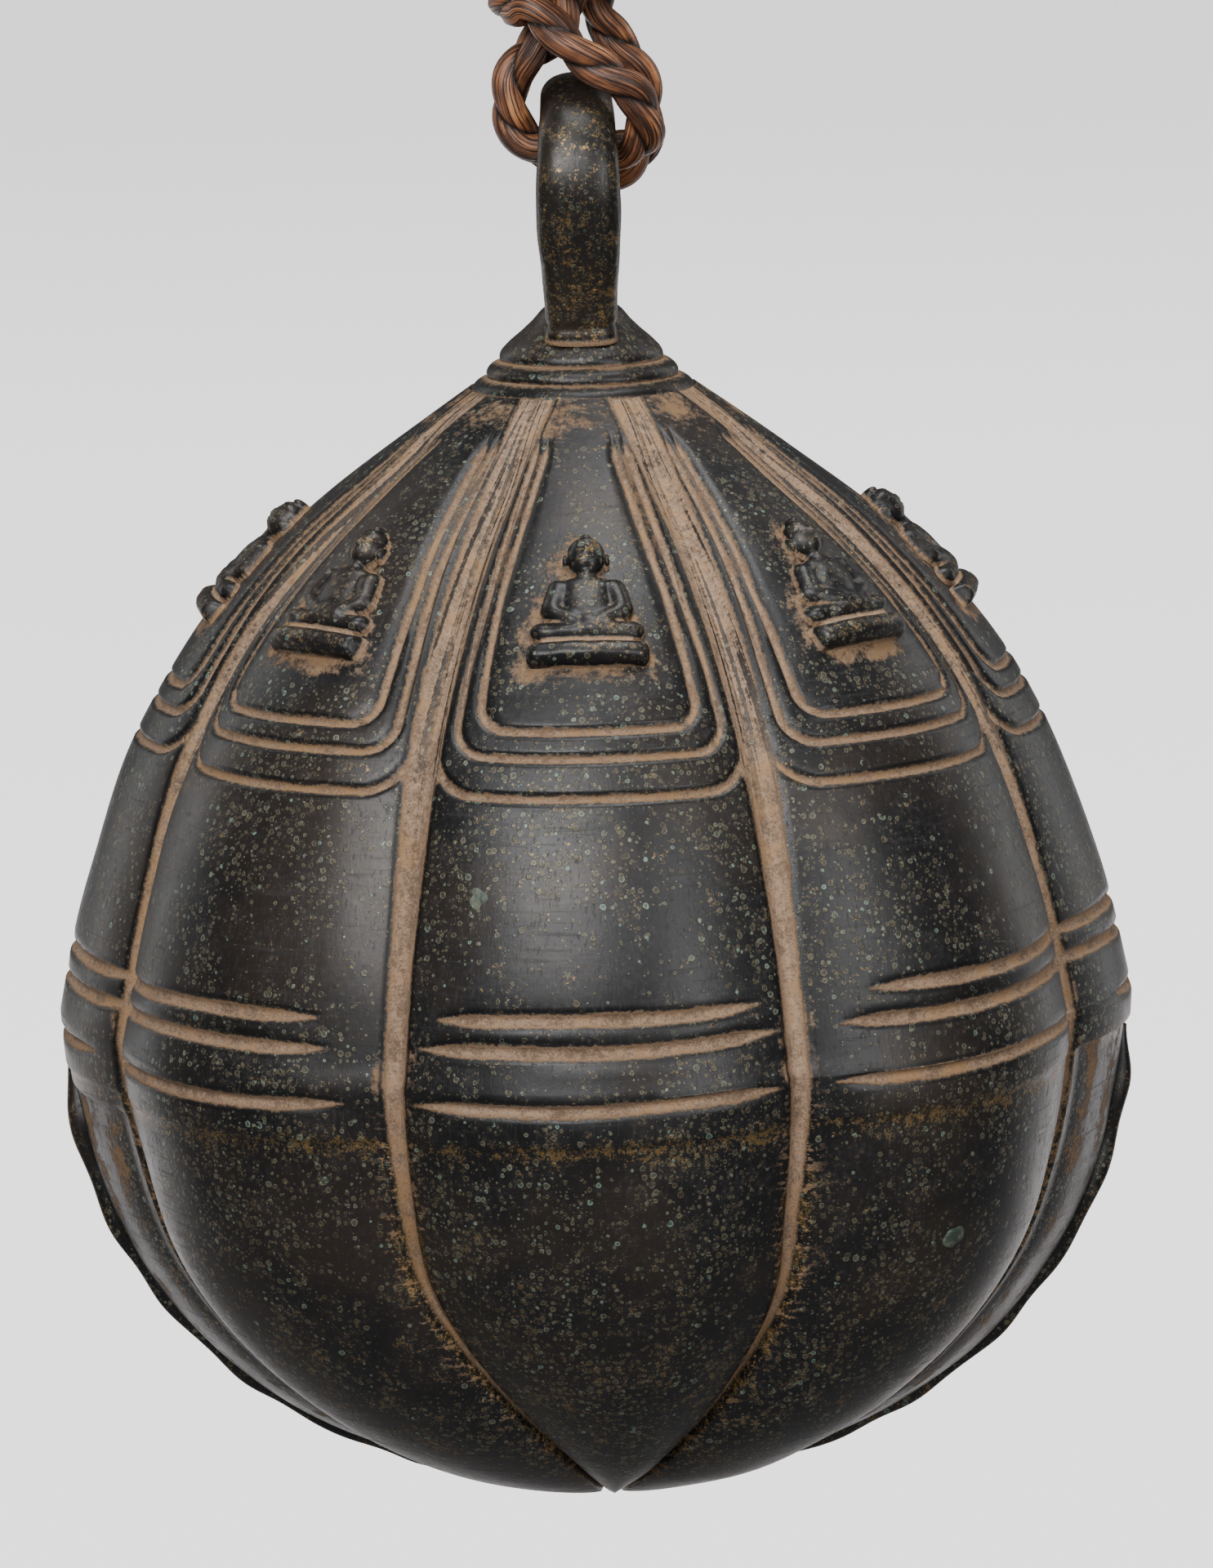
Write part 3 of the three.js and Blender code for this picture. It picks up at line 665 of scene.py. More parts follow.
def bronzeMaterial(name, settings):
    # dark patina, then corrosion spots, hair scratches, near-black painted shade along the edges of the cuts
    # and raised parts, rubbed metal and dust laid over each other
    tree = Tree(name)
    dustEdge, smear, rub = tree.attribute("dustEdge"), tree.attribute("smear"), tree.attribute("rub")
    # beside marks a band along the edges of the cuts and raised parts, where near-black painted shade goes
    # and dust is kept out
    beside = (dustEdge - 0.55).math("ABSOLUTE").step(0.5, 0.1)
    broad = tree.noise(28, detail=3, roughness=0.6)
    middling = tree.noise(160, detail=4, roughness=0.65)
    fine = tree.noise(900, detail=3, roughness=0.7)
    grain = tree.noise(2600, detail=2, roughness=0.8)

    # patina, with brownish and greyish places
    colour = tree.mix(broad.step(0.38, 0.66), settings["dark"], settings["brown"])
    colour = tree.mix((middling * 0.5 + fine * 0.5).step(0.46, 0.68) * 0.55, colour, settings["grey"])

    # corrosion spots in clusters: uneven rings and filled dots
    cluster = (tree.noise(45, detail=3, roughness=0.6) + (middling - 0.5) * 0.35).step(0.34, 0.62)
    warped = tree.node("ShaderNodeVectorMath", dict(operation="MULTIPLY_ADD"),
                       tree.noise(1100, detail=1).other("Color"), (0.00042, 0.00042, 0.00042), tree.coords)
    height = fine * 0.12
    for scale, inner, outer, amount, strength in ((640, 0.24, 0.36, 0.85, 0.75), (840, 0.10, 0.30, 0.75, 0.6),
                                                  (1350, 0.0, 0.26, 0.55, 0.55)):
        density = cluster * amount + 0.05
        ring, disc, present, tint = voronoiSpots(tree, warped, scale, inner, outer, density)
        spotColour = tree.node("ShaderNodeValToRGB", dict(stops=[
            (0.0, (0.040, 0.033, 0.019)), (0.45, (0.078, 0.066, 0.038)), (0.78, (0.100, 0.094, 0.062)),
            (0.92, (0.13, 0.14, 0.10)), (1.0, (0.14, 0.22, 0.17))]), tint)
        share = (ring + disc * 0.55) * present * (fine * 1.9 - 0.1)
        colour = tree.mix((share * strength * settings["spots"]).math("MINIMUM", 1), colour, spotColour)
        height = height + share * 0.22
    scratch = tree.noise(520, detail=2, roughness=0.7, vector=tree.scaled(tree.coords, (0.12, 0.12, 2.4)))
    hairs = tree.noise(760, detail=2, roughness=0.7, vector=tree.scaled(tree.coords, (2.3, 2.3, 0.16)))
    worn = scratch.step(0.56, 0.72) * 0.6 + hairs.step(0.56, 0.70)
    colour = tree.mix(worn * 0.16, colour, settings["grey"])
    # painted shade: near-black along the edges of the cuts and raised parts
    colour = tree.mix(beside * 0.75, colour, (0.0035, 0.0033, 0.0034))
    height = height + scratch * 0.03 + hairs * 0.16

    # bare metal that shows where it was rubbed
    bare = rub + (fine - 0.5) * 2.2 + (grain - 0.5) * 1.8 + (middling - 0.5) * 1.4 - 0.26
    bare = bare.step(0.20, 0.50) * settings["wear"]
    colour = tree.mix(bare, colour, tree.mix(grain, settings["rubbedDark"], settings["rubbedLight"]))

    # dust in the cuts and smeared beside them
    uneven = (fine - 0.5) * 2.6 + (middling - 0.5) * 2.6
    edge = (dustEdge + 0.16 + uneven * 0.42).step(0.36, -0.22)
    smeared = (smear + (middling - 0.5) * 1.9 + (fine - 0.5) * 0.9).step(0.46, 0.92) * (1 - beside * 0.85)
    stroke = tree.noise(420, detail=2, roughness=0.5, vector=tree.scaled(tree.coords, (0.55, 0.55, 2.6)))
    chart = tree.scaled(tree.attribute("chart", "Vector"), (1, 0.02, 1))
    lines = tree.noise(0.95, detail=2, roughness=0.5, vector=chart)
    streaked = (lines + (fine - 0.5) * 0.25).step(0.46, 0.39) * tree.attribute("streaks")
    strokes = tree.attribute("strokes") * (stroke + (fine - 0.5) * 0.8).step(0.58, 0.66)
    dust = edge.math("MAXIMUM", smeared * 0.85) * (1 - streaked * 0.9)
    dust = dust.math("MAXIMUM", strokes * 0.8) * settings["dust"]
    dustColour = tree.mix((middling * 0.35 + fine * 0.3 + grain * 0.35).step(0.40, 0.58),
                          settings["dustDark"], settings["dustLight"])
    golden = (middling * 0.6 + broad * 0.4).step(0.48, 0.60) * 0.6
    dustColour = tree.mix(golden, dustColour, settings["dustGold"])
    rim = (dustEdge + uneven * 0.3).step(-0.9, 0.1) * 0.6
    dustColour = tree.mix(rim, dustColour, settings["dustRim"])
    colour = tree.mix(dust, colour, dustColour)
    rough = (settings["gloss"] + middling * 0.20 + fine * 0.10 + worn * 0.16) * (1 - dust) + dust * 0.95
    height = height + dust * 0.5 + dust * grain * 0.35 + middling * 0.25 + tree.noise(70, detail=2) * 0.9
    metallic = (bare * 0.6 + 0.30) * (1 - dust)
    return tree.finish(Base_Color=colour, Roughness=rough, Metallic=metallic,
                       Normal=tree.bump(height, 0.00016, 0.9))


bronzeLook = dict(dark=(0.0058, 0.0058, 0.0066), brown=(0.021, 0.0155, 0.012), grey=(0.032, 0.032, 0.034),
                  spots=1.0, wear=0.9, dust=0.96, gloss=0.25,
                  dustDark=(0.125, 0.080, 0.050), dustLight=(0.315, 0.212, 0.140),
                  dustGold=(0.27, 0.150, 0.058), dustRim=(0.165, 0.088, 0.034),
                  rubbedDark=(0.12, 0.078, 0.030), rubbedLight=(0.35, 0.225, 0.092))
bronze = bronzeMaterial("patinatedBronze", bronzeLook)
shell = makeShell(shellSize, bronze)
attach(shell, "bell")
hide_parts("bell_shell")
print("shell made,", len(shell.data.polygons), "faces")


# lips along the slit: two half-round bars on each side of it

lipSize = dict(out=5.2, width=3.8, height=2.6, start=-9.5, sunk=1.5)


def makeLips(size, material):
    # a half-round bar on the crest line at each side of the slit, that starts thin above the hole at each end
    rise = lengthAt(size["start"])
    whole = 2 * crestLength[-1]
    length = np.linspace(rise, crestLength[-1], 130)
    length = np.concatenate([length, (whole - length)[::-1][1:]])
    right = length <= crestLength[-1]
    reach = np.where(right, length, whole - length)
    radius, height, outR, outZ = onCrest(reach)
    flip = np.where(right, 1, -1)
    grow = smooth(0, 12, reach - rise)
    fromHole = reach - lengthAt(shellSize["slitTop"])
    aside = size["out"] + 1.5 * np.exp(-(fromHole / 6) ** 2) - 1.6 * (1 - smooth(0, 16, reach - rise))
    aside = aside + 0.35 * np.sin(0.21 * length) + 0.2 * np.sin(0.53 * length + 1)
    angle = np.linspace(0, 2 * math.pi, 20, endpoint=False)
    parts, faces, layers, start = [], [], dict(dustEdge=[], smear=[], rub=[]), 0
    for side in (-1, 1):
        high = size["height"] * (0.35 + 0.65 * grow) * (1 + 0.12 * np.sin(0.33 * length + side))
        wide = size["width"] * (0.45 + 0.55 * grow)
        lift = high[:, None] * np.sin(angle) - size["sunk"]
        y = side * (aside[:, None] + wide[:, None] / 2 * np.cos(angle))
        points = np.stack([flip[:, None] * (radius[:, None] + lift * outR[:, None]), y,
                           height[:, None] + lift * outZ[:, None] + waistZ], axis=-1)
        n, m = points.shape[:2]
        parts += [points.reshape(-1, 3), points[0].mean(0)[None], points[-1].mean(0)[None]]
        faces += tubeFaces(n, m, start)
        layers["dustEdge"] += [*np.tile((np.sin(angle) + 0.35) * 1.6, n), 3, 3]
        layers["smear"] += [0.18] * (n * m + 2)
        layers["rub"] += [*np.tile(np.clip(np.sin(angle), 0, 1) * 0.35, n), 0, 0]
        start += n * m + 2
    return makePiece("slit_lips", np.vstack(parts), faces, material, layers)


lips = makeLips(lipSize, bronze)
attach(lips, "bell")


# collar: two rings and a cap, turned about the bell's axis

def turnedPiece(name, profile, columns, material, dustLines, wobble=0.0):
    # revolves an outline of (radius, height) pairs, with more points put in along it; radius gets a slow wave
    profile = np.array(profile, float)
    dense = [profile[0]]
    for a, b in zip(profile[:-1], profile[1:]):
        count = max(1, int(math.dist(a, b) / 0.45))
        dense += [a + (b - a) * k / count for k in range(1, count + 1)]
    dense = np.array(dense)
    for _ in range(2):
        dense[1:-1] = (dense[:-2] + 2 * dense[1:-1] + dense[2:]) / 4
    angle = np.linspace(0, 2 * math.pi, columns, endpoint=False)[None, :]
    out, up = dense[:, :1], dense[:, 1:]
    wave = wobble * (0.6 * np.sin(3 * angle + 1 + up * 0.3) + 0.4 * np.sin(7 * angle + up * 0.5))
    radius = np.where(out > 1e-6, np.maximum(out + wave * np.minimum(out / 8, 1), 0.01), 0)
    height = up + wobble * 0.5 * np.sin(2 * angle + 0.4) + 0 * radius
    points = np.stack([radius * np.cos(angle), radius * np.sin(angle), height], axis=-1)
    points[0], points[-1] = points[0].mean(0), points[-1].mean(0)
    edge = np.min([np.abs(height - line) - half for line, half in dustLines] or [height * 0 + 6], axis=0)
    flatPoints, faces, first = weld(points.reshape(-1, 3), gridFaces(*radius.shape, closed=True))
    values = dict(dustEdge=edge.ravel()[first], smear=np.full(len(first), 0.1), rub=np.full(len(first), 0.12))
    return makePiece(name, flatPoints, [faces], material, values)


# each piece's outline as (radius, height) pairs, its dust lines as (height, half width) pairs, with painted
# shade along their edges, and its wobble
collarPieces = [
    ("lower_neck_ring", [(0, 111.0), (20.6, 111.0), (20.7, 112.0), (20.2, 113.2), (18.8, 114.2),
                         (17.2, 114.6), (0, 114.6)],
     [(111.6, 0.75), (114.5, 0.35)], 0.2),
    ("upper_neck_ring", [(0, 114.0), (17.4, 114.0), (17.9, 114.9), (17.6, 116.0), (16.4, 117.1),
                         (14.8, 117.6), (0, 117.6)],
     [(114.4, 0.3), (117.5, 0.4)], 0.18),
    ("neck_cap", [(0, 117.0), (14.9, 117.0), (15.3, 118.0), (14.9, 119.2), (13.2, 120.9), (11.0, 122.7),
                  (9.0, 124.6), (7.4, 126.6), (5.8, 127.8), (3.0, 128.4), (0, 128.4)],
     [(117.4, 0.45), (127.8, 0.5)], 0.16),
]
for name, profile, dustLines, wobble in collarPieces:
    lines = [(line + waistZ, half) for line, half in dustLines]
    ring = turnedPiece(name + "_cast", [(r, z + waistZ) for r, z in profile], 144, bronze, lines, wobble)
    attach(ring, "bell")
    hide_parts(name)


# suspension loop: a rounded bar bent into a horseshoe across the slit's line

loopSize = dict(middle=15.25, width=15.6, thickness=9.5, wrap=14, footReach=8.8, footDrop=31.0,
                squareness=2.45)


def makeLoop(size, material):
    # section |x/w| ** n + |t/h| ** n = 1, swept up one leg, over the round head and down the other leg
    wrap = math.radians(size["wrap"])
    arc = np.linspace(-wrap, math.pi + wrap, 40)
    head = np.stack([size["middle"] * np.cos(arc), size["middle"] * np.sin(arc)], axis=1)
    leg = np.array([[size["footReach"], -size["footDrop"] + 2.4], [9.7, -22.5], [11.6, -15.5], [13.6, -9]])
    route = np.vstack([leg, head, leg[::-1] * [-1, 1]])
    path, along = smoothPath(np.column_stack([np.zeros(len(route)), route]), 0.5)
    tangent = np.gradient(path, axis=0)
    tangent /= np.linalg.norm(tangent, axis=1)[:, None]
    outward = np.cross(tangent, [-1.0, 0, 0])
    fromFoot = np.minimum(along, along[-1] - along)
    taper = 0.83 + 0.17 * smooth(0, 26, fromFoot) - 0.15 * smooth(26, 50, fromFoot)
    flare = 0.30 * np.exp(-(fromFoot / 1.8) ** 2) - 0.28 * np.exp(-((fromFoot - 3.2) / 0.7) ** 2)
    angle = np.linspace(0, 2 * math.pi, 72, endpoint=False)
    power = 2 / (size["squareness"] - 0.42 * smooth(24, 48, fromFoot))[:, None]
    c = np.sign(np.cos(angle)) * np.abs(np.cos(angle)) ** power
    s = np.sign(np.sin(angle)) * np.abs(np.sin(angle)) ** power
    dent = 0.12 * handWobble(along[:, None], 9 * np.cos(angle)[None], 9 * np.sin(angle)[None], 5)
    wide = (size["width"] / 2 * taper + flare)[:, None] * c * (1 + dent / 6)
    deep = size["thickness"] / 2 * (0.94 + 0.06 * smooth(0, 20, fromFoot)) + flare
    thick = deep[:, None] * s * (1 + dent / 4)
    points = (path[:, None, :] + wide[..., None] * np.array([1.0, 0, 0])
              + thick[..., None] * outward[:, None, :])
    points[..., 0] = np.clip(points[..., 0], -size["width"] / 2, size["width"] / 2)
    ends = np.stack([path[0], path[-1]])
    lower = 1 - smooth(12, 34, fromFoot)
    rub = 0.22 + 0.42 * lower[:, None] * (0.25 + 0.75 * np.clip(s, 0, 1))
    layers = dict(dustEdge=np.append((np.abs(fromFoot - 0.4) - 0.5)[:, None] + 0 * wide, [5, 5]),
                  smear=np.append((0.5 * (1 - smooth(0.5, 5.5, fromFoot)))[:, None] + 0 * wide, [0, 0]),
                  rub=np.append(rub, [0, 0]))
    points = np.vstack([points.reshape(-1, 3), ends]) + [0, 0, loopZ]
    return makePiece("horseshoe_loop", points, tubeFaces(*wide.shape), material, layers)


wornLook = dict(bronzeLook, dark=(0.010, 0.0085, 0.007), brown=(0.030, 0.022, 0.015), spots=0.35, wear=1.0,
                gloss=0.22)
loop = makeLoop(loopSize, bronzeMaterial("wornBronze", wornLook))
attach(loop, "bell")
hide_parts("suspension_loop")
print("collar and loop made")


# seated figures in relief, one on the shoulder of each lobe: u runs across, v up the slope from the seat

figureSize = dict(seatRadius=70.5, depth=0.92, wear=0.5, smoothing=9)


def bump(u, v, cu, cv, ru, rv, height, power=2.0):
    # rounded mound: height * (1 - (distance in radii) ** power) ** 0.5
    away = np.hypot((u - cu) / ru, (v - cv) / rv)
    return height * np.sqrt(np.clip(1 - away ** power, 0, None))


def limb(u, v, start, end, radius, height):
    # rounded bar between two points, radius and height given at both ends
    a, b = np.array(start, float), np.array(end, float)
    share = np.clip(((u - a[0]) * (b - a)[0] + (v - a[1]) * (b - a)[1]) / np.dot(b - a, b - a), 0, 1)
    away = np.hypot(u - a[0] - share * (b - a)[0], v - a[1] - share * (b - a)[1])
    thick = radius[0] + (radius[1] - radius[0]) * share
    return (height[0] + (height[1] - height[0]) * share) * np.sqrt(np.clip(1 - (away / thick) ** 2, 0, None))


def bell(distance, width):
    # exp(-(distance / width) ** 2)
    return np.exp(-(distance / width) ** 2)


def figureRelief(u, v):
    # height of the figure over the shell: the tallest of its rounded parts, with the face and robe added
    m = np.abs(u)
    droop = 0.45 * (m / 10) ** 2
    base = (1 - smooth(10.2, 11.2, m)) * smooth(-0.9, 0.3, v + droop) * (1 - smooth(3.4, 4.4, v + droop))
    whole = base * (3.9 - 0.5 * (m / 11) ** 2)
    parts = [
        bump(u, v, 0, 12.4, 4.9, 6.6, 3.3, 2.6),                          # chest and shoulders
        bump(u, v, 0, 15.6, 5.6, 3.0, 3.0, 2.4),
        limb(m, v, (5.0, 15.6), (6.4, 11.0), (2.2, 2.1), (2.9, 3.0)),     # arms
        limb(m, v, (6.3, 10.4), (1.8, 8.1), (1.9, 1.4), (3.1, 3.6)),
        limb(m, v, (8.0, 6.3), (1.0, 5.9), (2.2, 1.8), (3.0, 3.3)),       # crossed legs and hands
        bump(m, v, 8.1, 6.2, 2.4, 2.1, 3.2),
        limb(u, v, (-4.6, 5.9), (4.0, 7.0), (1.5, 1.3), (3.7, 3.8)),
        bump(u, v, 0, 8.2, 2.6, 1.2, 3.9),
        limb(u, v, (0, 17.6), (0, 20.0), (1.9, 1.9), (2.8, 2.8)),         # neck
        bump(u, v, 0, 22.3, 3.55, 3.9, 4.5, 2.3),                         # head, hair and ears
        bump(u, v, 0, 24.0, 3.35, 2.5, 4.5, 2.2),
        bump(u, v, 0, 26.3, 1.5, 1.3, 3.4),
        bump(m, v, 3.7, 21.9, 0.65, 1.6, 2.4),
    ]
    whole = np.maximum.reduce([whole] + parts)
    robe = np.exp(-((v - 15.2 - 0.62 * u) / 0.34) ** 2) * (m < 4.4) * (v > 11) * (v < 18)
    return whole + faceRelief(u / 1.16, (v - 22.1) / 1.06 + 22.1) + 0.28 * robe


def faceRelief(u, v):
    # nose, brows, closed eyelids with a cut under each, lips, and the hair's edge, as sums of small bells
    m = np.abs(u)
    face = (m < 2.5) & (v > 19.4) & (v < 24.6)
    nose = 0.42 * bell(m, 0.42) * smooth(21.1, 21.7, v) * (1 - smooth(22.6, 23.5, v))
    brows = 0.26 * bell(v - 23.3 + 0.25 * (m - 1.1) ** 2, 0.24)
    brows = brows * smooth(0.2, 0.6, m) * (1 - smooth(1.8, 2.3, m))
    lids = 0.30 * bell(v - 22.55, 0.36) * bell(m - 1.15, 0.72)
    cuts = 0.24 * bell(v - 22.45 + 0.12 * (m - 1.15) ** 2, 0.12) * np.exp(-((m - 1.15) / 0.65) ** 4)
    lips = 0.26 * bell(v - 20.75, 0.22) * bell(u, 0.85) + 0.24 * bell(v - 20.2, 0.24) * bell(u, 0.7)
    hairEdge = 0.14 * bell(v - 24.15, 0.18) * (m < 2.6)
    return (nose + brows + lids - cuts + lips - hairEdge) * face


def makeFigure(name, azimuth, size, material):
    # a grid laid on the lobe and lifted by the relief, closed underneath by the same grid sunk into the wall
    u = np.concatenate([np.linspace(-11.8, -4, 22)[:-1], np.linspace(-4, 4, 37)[:-1],
                        np.linspace(4, 11.8, 22)])
    v = np.concatenate([np.linspace(-1, 17.5, 48)[:-1], np.linspace(17.5, 28.2, 46)])[::-1]
    uu, vv = np.meshgrid(u, v)
    wear = size["wear"] * handWobble(uu + azimuth, vv, 3.0, 2.6)
    height = figureRelief(uu, vv)
    low = height < 0.05
    soft = height.copy()
    for _ in range(size["smoothing"]):
        whole = soft[1:-1, 1:-1]
        inner = (soft[:-2, 1:-1] + soft[2:, 1:-1] + soft[1:-1, :-2] + soft[1:-1, 2:] + 4 * whole) / 8
        soft[1:-1, 1:-1] = np.where(vv[1:-1, 1:-1] > 19, 0.92 * whole + 0.08 * inner, inner)   # crisp heads
    lift = np.where(low, -0.9, soft * size["depth"] + wear * 0.4 - 0.15)
    lift[0], lift[-1], lift[:, 0], lift[:, -1] = -1.4, -1.4, -1.4, -1.4
    foot = np.interp(size["seatRadius"], crest[:, 0][crest[:, 1] > 0], crestLength[crest[:, 1] > 0])
    length = foot - vv
    radius = onCrest(length)[0]
    place = azimuth + np.degrees(uu / radius)
    top = bodyPoints(place, length, lift)
    under = bodyPoints(place, length, lift * 0 - 2.0)
    n, m = uu.shape
    blur = soft.copy()
    for _ in range(6):
        blur[1:-1, 1:-1] = (blur[:-2, 1:-1] + blur[2:, 1:-1] + blur[1:-1, :-2] + blur[1:-1, 2:]) / 4
    crease = np.clip((soft - blur) * 4 + 1.1, -1, 3)
    dustEdge = np.minimum(crease - 0.25, (soft - 1.15) * 1.3)
    lowered = n * m + np.arange(n * m).reshape(n, m)
    index = np.arange(n * m).reshape(n, m)
    skirts = []
    for a, b in ((index[0], lowered[0]), (index[-1][::-1], lowered[-1][::-1]),
                 (index[:, 0][::-1], lowered[:, 0][::-1]), (index[:, -1], lowered[:, -1])):
        skirts.append(np.stack([a[:-1], a[1:], b[1:], b[:-1]], axis=1))
    points = np.vstack([top.reshape(-1, 3), under.reshape(-1, 3)])
    faces = [gridFaces(n, m), gridFaces(n, m, start=n * m)[:, ::-1]] + skirts
    rub = 0.30 * smooth(2.4, 4.0, soft)
    layers = dict(dustEdge=np.tile(dustEdge.ravel(), 2), smear=np.full(2 * n * m, 0.27),
                  rub=np.tile(rub.ravel(), 2))
    return makePiece(name, points, faces, material, layers)


for i in range(8):
    node = f"seated_figure_{i + 1}"
    low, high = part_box(node)
    around = math.degrees(math.atan2((low.y + high.y) / 2, (low.x + high.x) / 2))
    figure = makeFigure(node + "_relief", round(around / 45) * 45, figureSize, bronze)
    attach(figure, "bell")
    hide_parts(node)
print("figures made")


# iron: core pins, loose ball and hook

def ironMaterial(name, settings):
    # dark scale with rust over it in patches, and a paler bloom here and there
    tree = Tree(name)
    broad, middling = tree.noise(40, detail=3), tree.noise(240, detail=4, roughness=0.7)
    fine = tree.noise(1300, detail=3)
    rust = (middling + broad - 1).step(-0.12, 0.10)
    colour = tree.mix(rust, settings["dark"], tree.mix(fine, settings["rust"], settings["light"]))
    pale = (fine * 0.5 + middling * 0.5).step(0.58, 0.66) * settings["pale"]
    colour = tree.mix(pale, colour, settings["bloom"])
    return tree.finish(Base_Color=colour, Roughness=rust * 0.35 + 0.45 + fine * 0.1,
                       Metallic=(1 - rust) * settings["metal"],
                       Normal=tree.bump(middling * 0.7 + fine * 0.3, settings["relief"]))


pinLook = dict(dark=(0.03, 0.045, 0.035), rust=(0.10, 0.05, 0.028), light=(0.10, 0.17, 0.13),
               pale=0.8, bloom=(0.20, 0.30, 0.24), metal=0.2, relief=0.0004)
ballLook = dict(dark=(0.03, 0.026, 0.024), rust=(0.09, 0.035, 0.015), light=(0.22, 0.10, 0.045),
                pale=0.3, bloom=(0.25, 0.15, 0.08), metal=0.6, relief=0.0005)
hookLook = dict(dark=(0.020, 0.019, 0.020), rust=(0.055, 0.026, 0.015), light=(0.12, 0.055, 0.03),
                pale=0.25, bloom=(0.10, 0.085, 0.075), metal=0.75, relief=0.0005)
pinIron = ironMaterial("corrodedPins", pinLook)


pinSize = dict(radius=2.5, dome=0.45, sunk=2.2, around=40)


def makePin(name, azimuth, height, size, material):
    # a worn disc with a low dome and an uneven outline, sunk into the wall
    angle = np.linspace(0, 2 * math.pi, size["around"], endpoint=False)[None, :]
    ring = np.array([0, 0.35, 0.7, 0.9, 1.0, 1.0])[:, None]
    lift = np.array([size["dome"], 0.42, 0.32, 0.2, 0.0, -size["sunk"]])[:, None]
    reach = size["radius"] * ring * (0.9 + 0.08 * np.sin(2 * angle + azimuth) + 0.05 * np.sin(5 * angle))
    middleLength = lengthAt(height)
    radius = onCrest(middleLength)[0]
    around = azimuth + np.degrees(reach * np.cos(angle) / radius)
    lift = lift + 0.08 * np.sin(3 * angle + reach) - 0.1
    points = bodyPoints(around, middleLength + reach * np.sin(angle), lift)
    points[0] = points[0].mean(0)
    end = points[-1].mean(0)
    flat = np.vstack([points.reshape(-1, 3), np.tile(end, (size["around"], 1))])
    flat, faces, _ = weld(flat, gridFaces(len(ring) + 1, size["around"], closed=True))
    return makePiece(name, flat, [faces], material)


for i in range(4):
    node = f"core_pin_{i + 1}"
    low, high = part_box(node)
    centre = (low + high) / 2
    around = math.degrees(math.atan2(centre.y, centre.x))
    pin = makePin(node + "_worn", around, centre.z / mm - waistZ, pinSize, pinIron)
    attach(pin, "bell")
    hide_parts(node)


ballSize = dict(dent=0.018, rows=50, around=96)


def makeBall(name, size, material):
    # a sphere with shallow dents: radius * (1 - dent * (1 + wobble))
    low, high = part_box("rattle_ball")
    turn = np.linspace(0, math.pi, size["rows"])[:, None]
    angle = np.linspace(0, 2 * math.pi, size["around"], endpoint=False)[None, :]
    outward = np.stack([np.sin(turn) * np.cos(angle), np.sin(turn) * np.sin(angle), np.cos(turn) + 0 * angle],
                       axis=-1)
    dent = 1 - size["dent"] * (1 + handWobble(outward[..., 0], outward[..., 1], outward[..., 2], 0.35))
    points = (high.z - low.z) / 2 / mm * dent[..., None] * outward
    points[0], points[-1] = points[0, 0], points[-1, 0]
    middle = np.array((low + high) / 2) / mm
    flat, faces, _ = weld(points.reshape(-1, 3) + middle, gridFaces(*dent.shape, closed=True))
    return makePiece(name, flat, [faces], material)


ball = makeBall("iron_ball", ballSize, ironMaterial("ballIron", ballLook))
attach(ball, "ball")
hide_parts("rattle_ball")

hookSize = dict(bar=12.0, plateFlat=18.9, plateEdge=0.9, plateDepth=4.0)
hookRoute = [(0, -0.0168, 0.0205), (0, -0.016, 0.014), (0, -0.0113, 0.0047), (0, 0, 0), (0, 0.0113, 0.0047),
             (0, 0.016, 0.016), (0, 0.0113, 0.0273), (0, 0.003, 0.036), (0, 0, 0.042), (0, 0, 0.0495)]


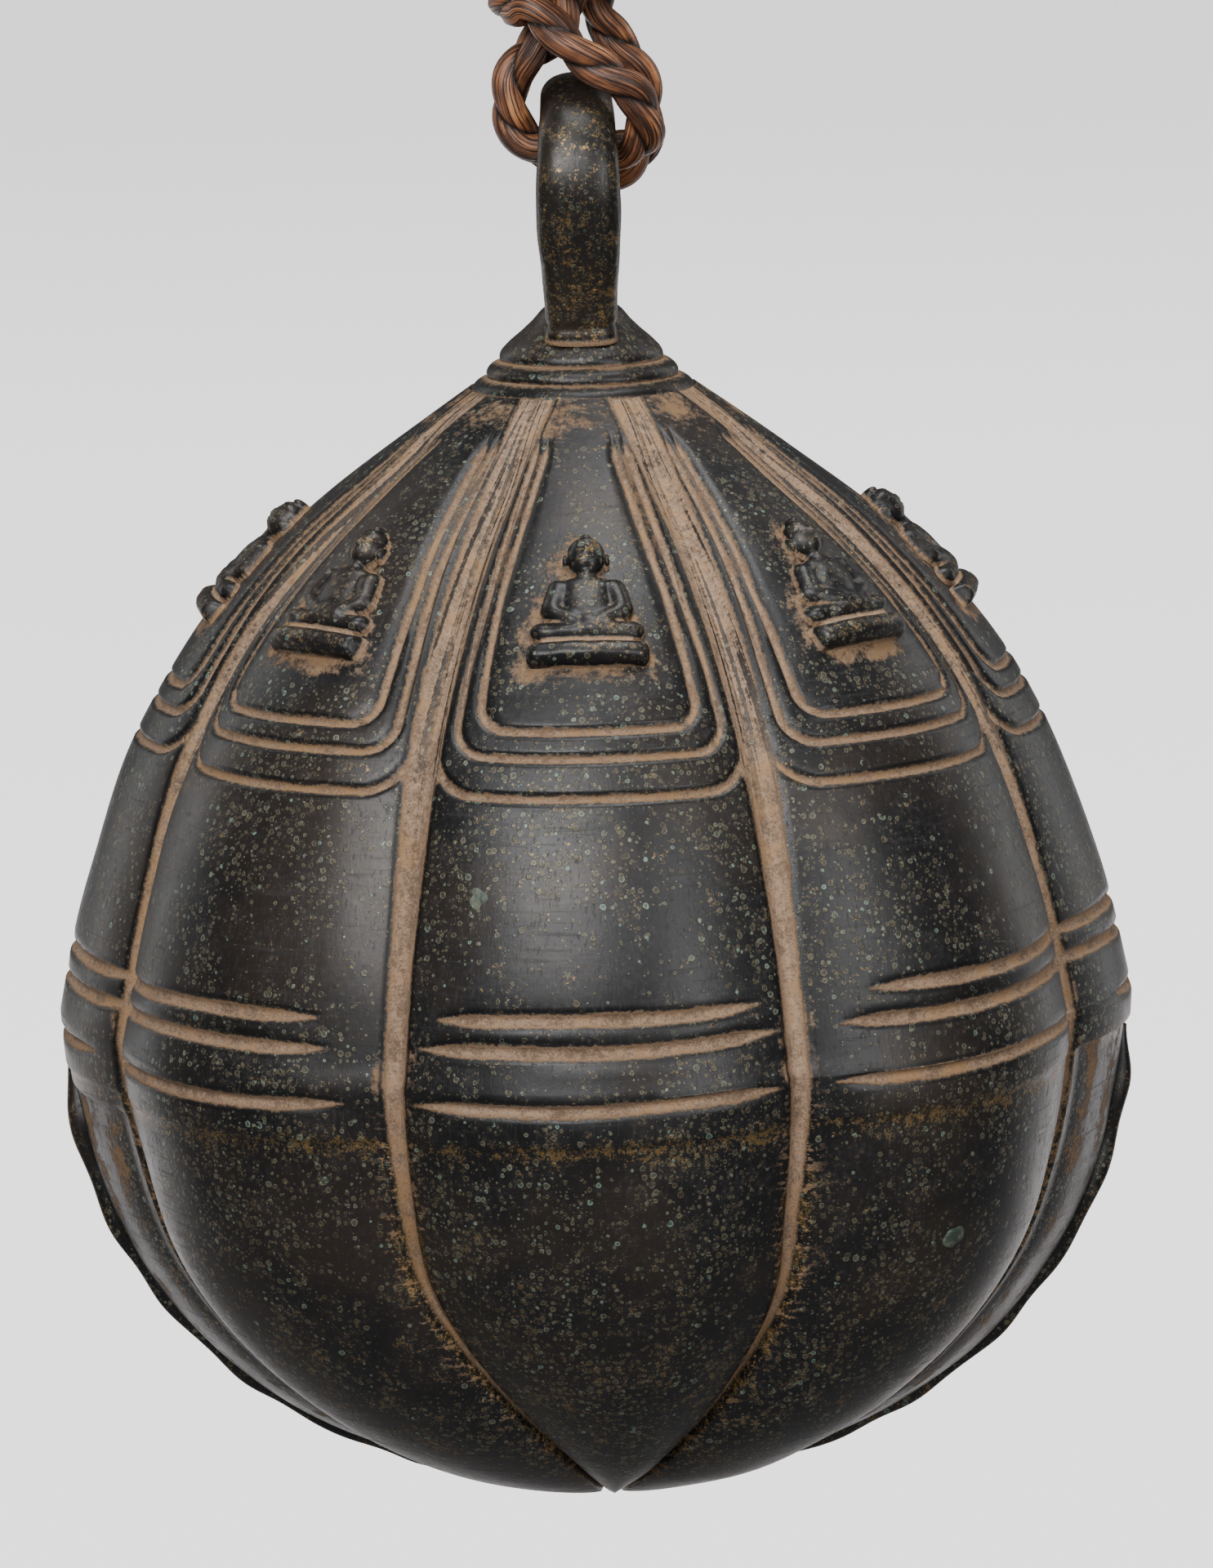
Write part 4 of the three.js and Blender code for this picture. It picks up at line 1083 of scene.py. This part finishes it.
def makeHook(size, material):
    # a hammered bar: eight soft flats round its section, and a tip that narrows
    path, along = smoothPath(np.array(hookRoute) / mm, 0.6)
    side, up = pathFrames(path)
    angle = np.linspace(0, 2 * math.pi, 64, endpoint=False)[None, :]
    flats = 0.93 + 0.07 * np.abs(np.cos(4 * angle)) ** 1.5
    blows = 0.16 * handWobble(along[:, None], 8 * np.cos(angle), 8 * np.sin(angle), 3.2)
    cap = np.sqrt(np.clip(1 - (1 - along / 3) ** 2, 0, 1)) * (along < 3) + (along >= 3)
    narrow = (0.74 + 0.26 * smooth(0, 16, along)) * np.maximum(cap, 0.02)
    reach = size["bar"] / 2 * 0.985 * narrow[:, None] * flats - np.abs(blows) * np.minimum(cap, 1)[:, None]
    square = np.cos(angle)[..., None] * side[:, None] + np.sin(angle)[..., None] * up[:, None]
    points = path[:, None] + reach[..., None] * square
    points = np.vstack([points.reshape(-1, 3), path[:1], path[-1:]]) + [0, 0, hookZ]
    return makePiece("forged_hook", points, tubeFaces(*reach.shape), material)


hookIron = ironMaterial("forgedIron", hookLook)
hook = makeHook(hookSize, hookIron)
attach(hook, "hook")
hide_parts("ceiling_hook")
flat, deep = hookSize["plateFlat"], hookSize["plateDepth"]
wide = flat + hookSize["plateEdge"]
plateOutline = [(0, -deep), (flat, -deep), (wide, 0.8 - deep), (wide, -0.7), (wide - 0.6, 0), (0, 0)]
plate = turnedPiece("hook_plate", plateOutline, 96, hookIron, [])
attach(plate, "hook")
print("iron made")


# floor and world

def addFloor(drop, reach):
    # a pale floor that glows softly behind the object and stays dimmer under it
    tree = Tree("paleFloor")
    grain = tree.noise(3, detail=2)
    behind = tree.split(tree.coords, 1)
    beside = tree.split(tree.coords, 0).math("ABSOLUTE")
    glow = tree.mix(behind.step(1.6, 9.5), (2.2, 2.12, 2.12), (1.50, 1.44, 1.46))
    glow = tree.mix(behind.step(0.5, 1.5) * beside.step(2.0, 1.2), (0.10, 0.099, 0.099), glow)
    pale = tree.mix(grain * 0.3, (0.10, 0.098, 0.097), (0.12, 0.117, 0.115))
    material = tree.finish(Base_Color=pale, Roughness=0.9, Emission_Color=glow, Emission_Strength=1.0)
    mesh = bpy.data.meshes.new("floor")
    angle = np.linspace(0, 2 * math.pi, 96, endpoint=False)
    level = np.full(len(angle), cadBox[0][2] - drop)
    rim = np.stack([reach * np.cos(angle), reach * np.sin(angle), level], axis=1)
    mesh.from_pydata(rim.tolist(), [], [list(range(len(rim)))])
    mesh.materials.append(material)
    floor = bpy.data.objects.new("floor", mesh)
    bpy.context.scene.collection.objects.link(floor)


addFloor(0.5, 30)
world = bpy.data.worlds.new("studio")
bpy.context.scene.world = world
world.use_nodes = True
sky = world.node_tree.nodes["Background"]
sky.inputs["Color"].default_value = (0.80, 0.79, 0.79, 1)
sky.inputs["Strength"].default_value = 0.15
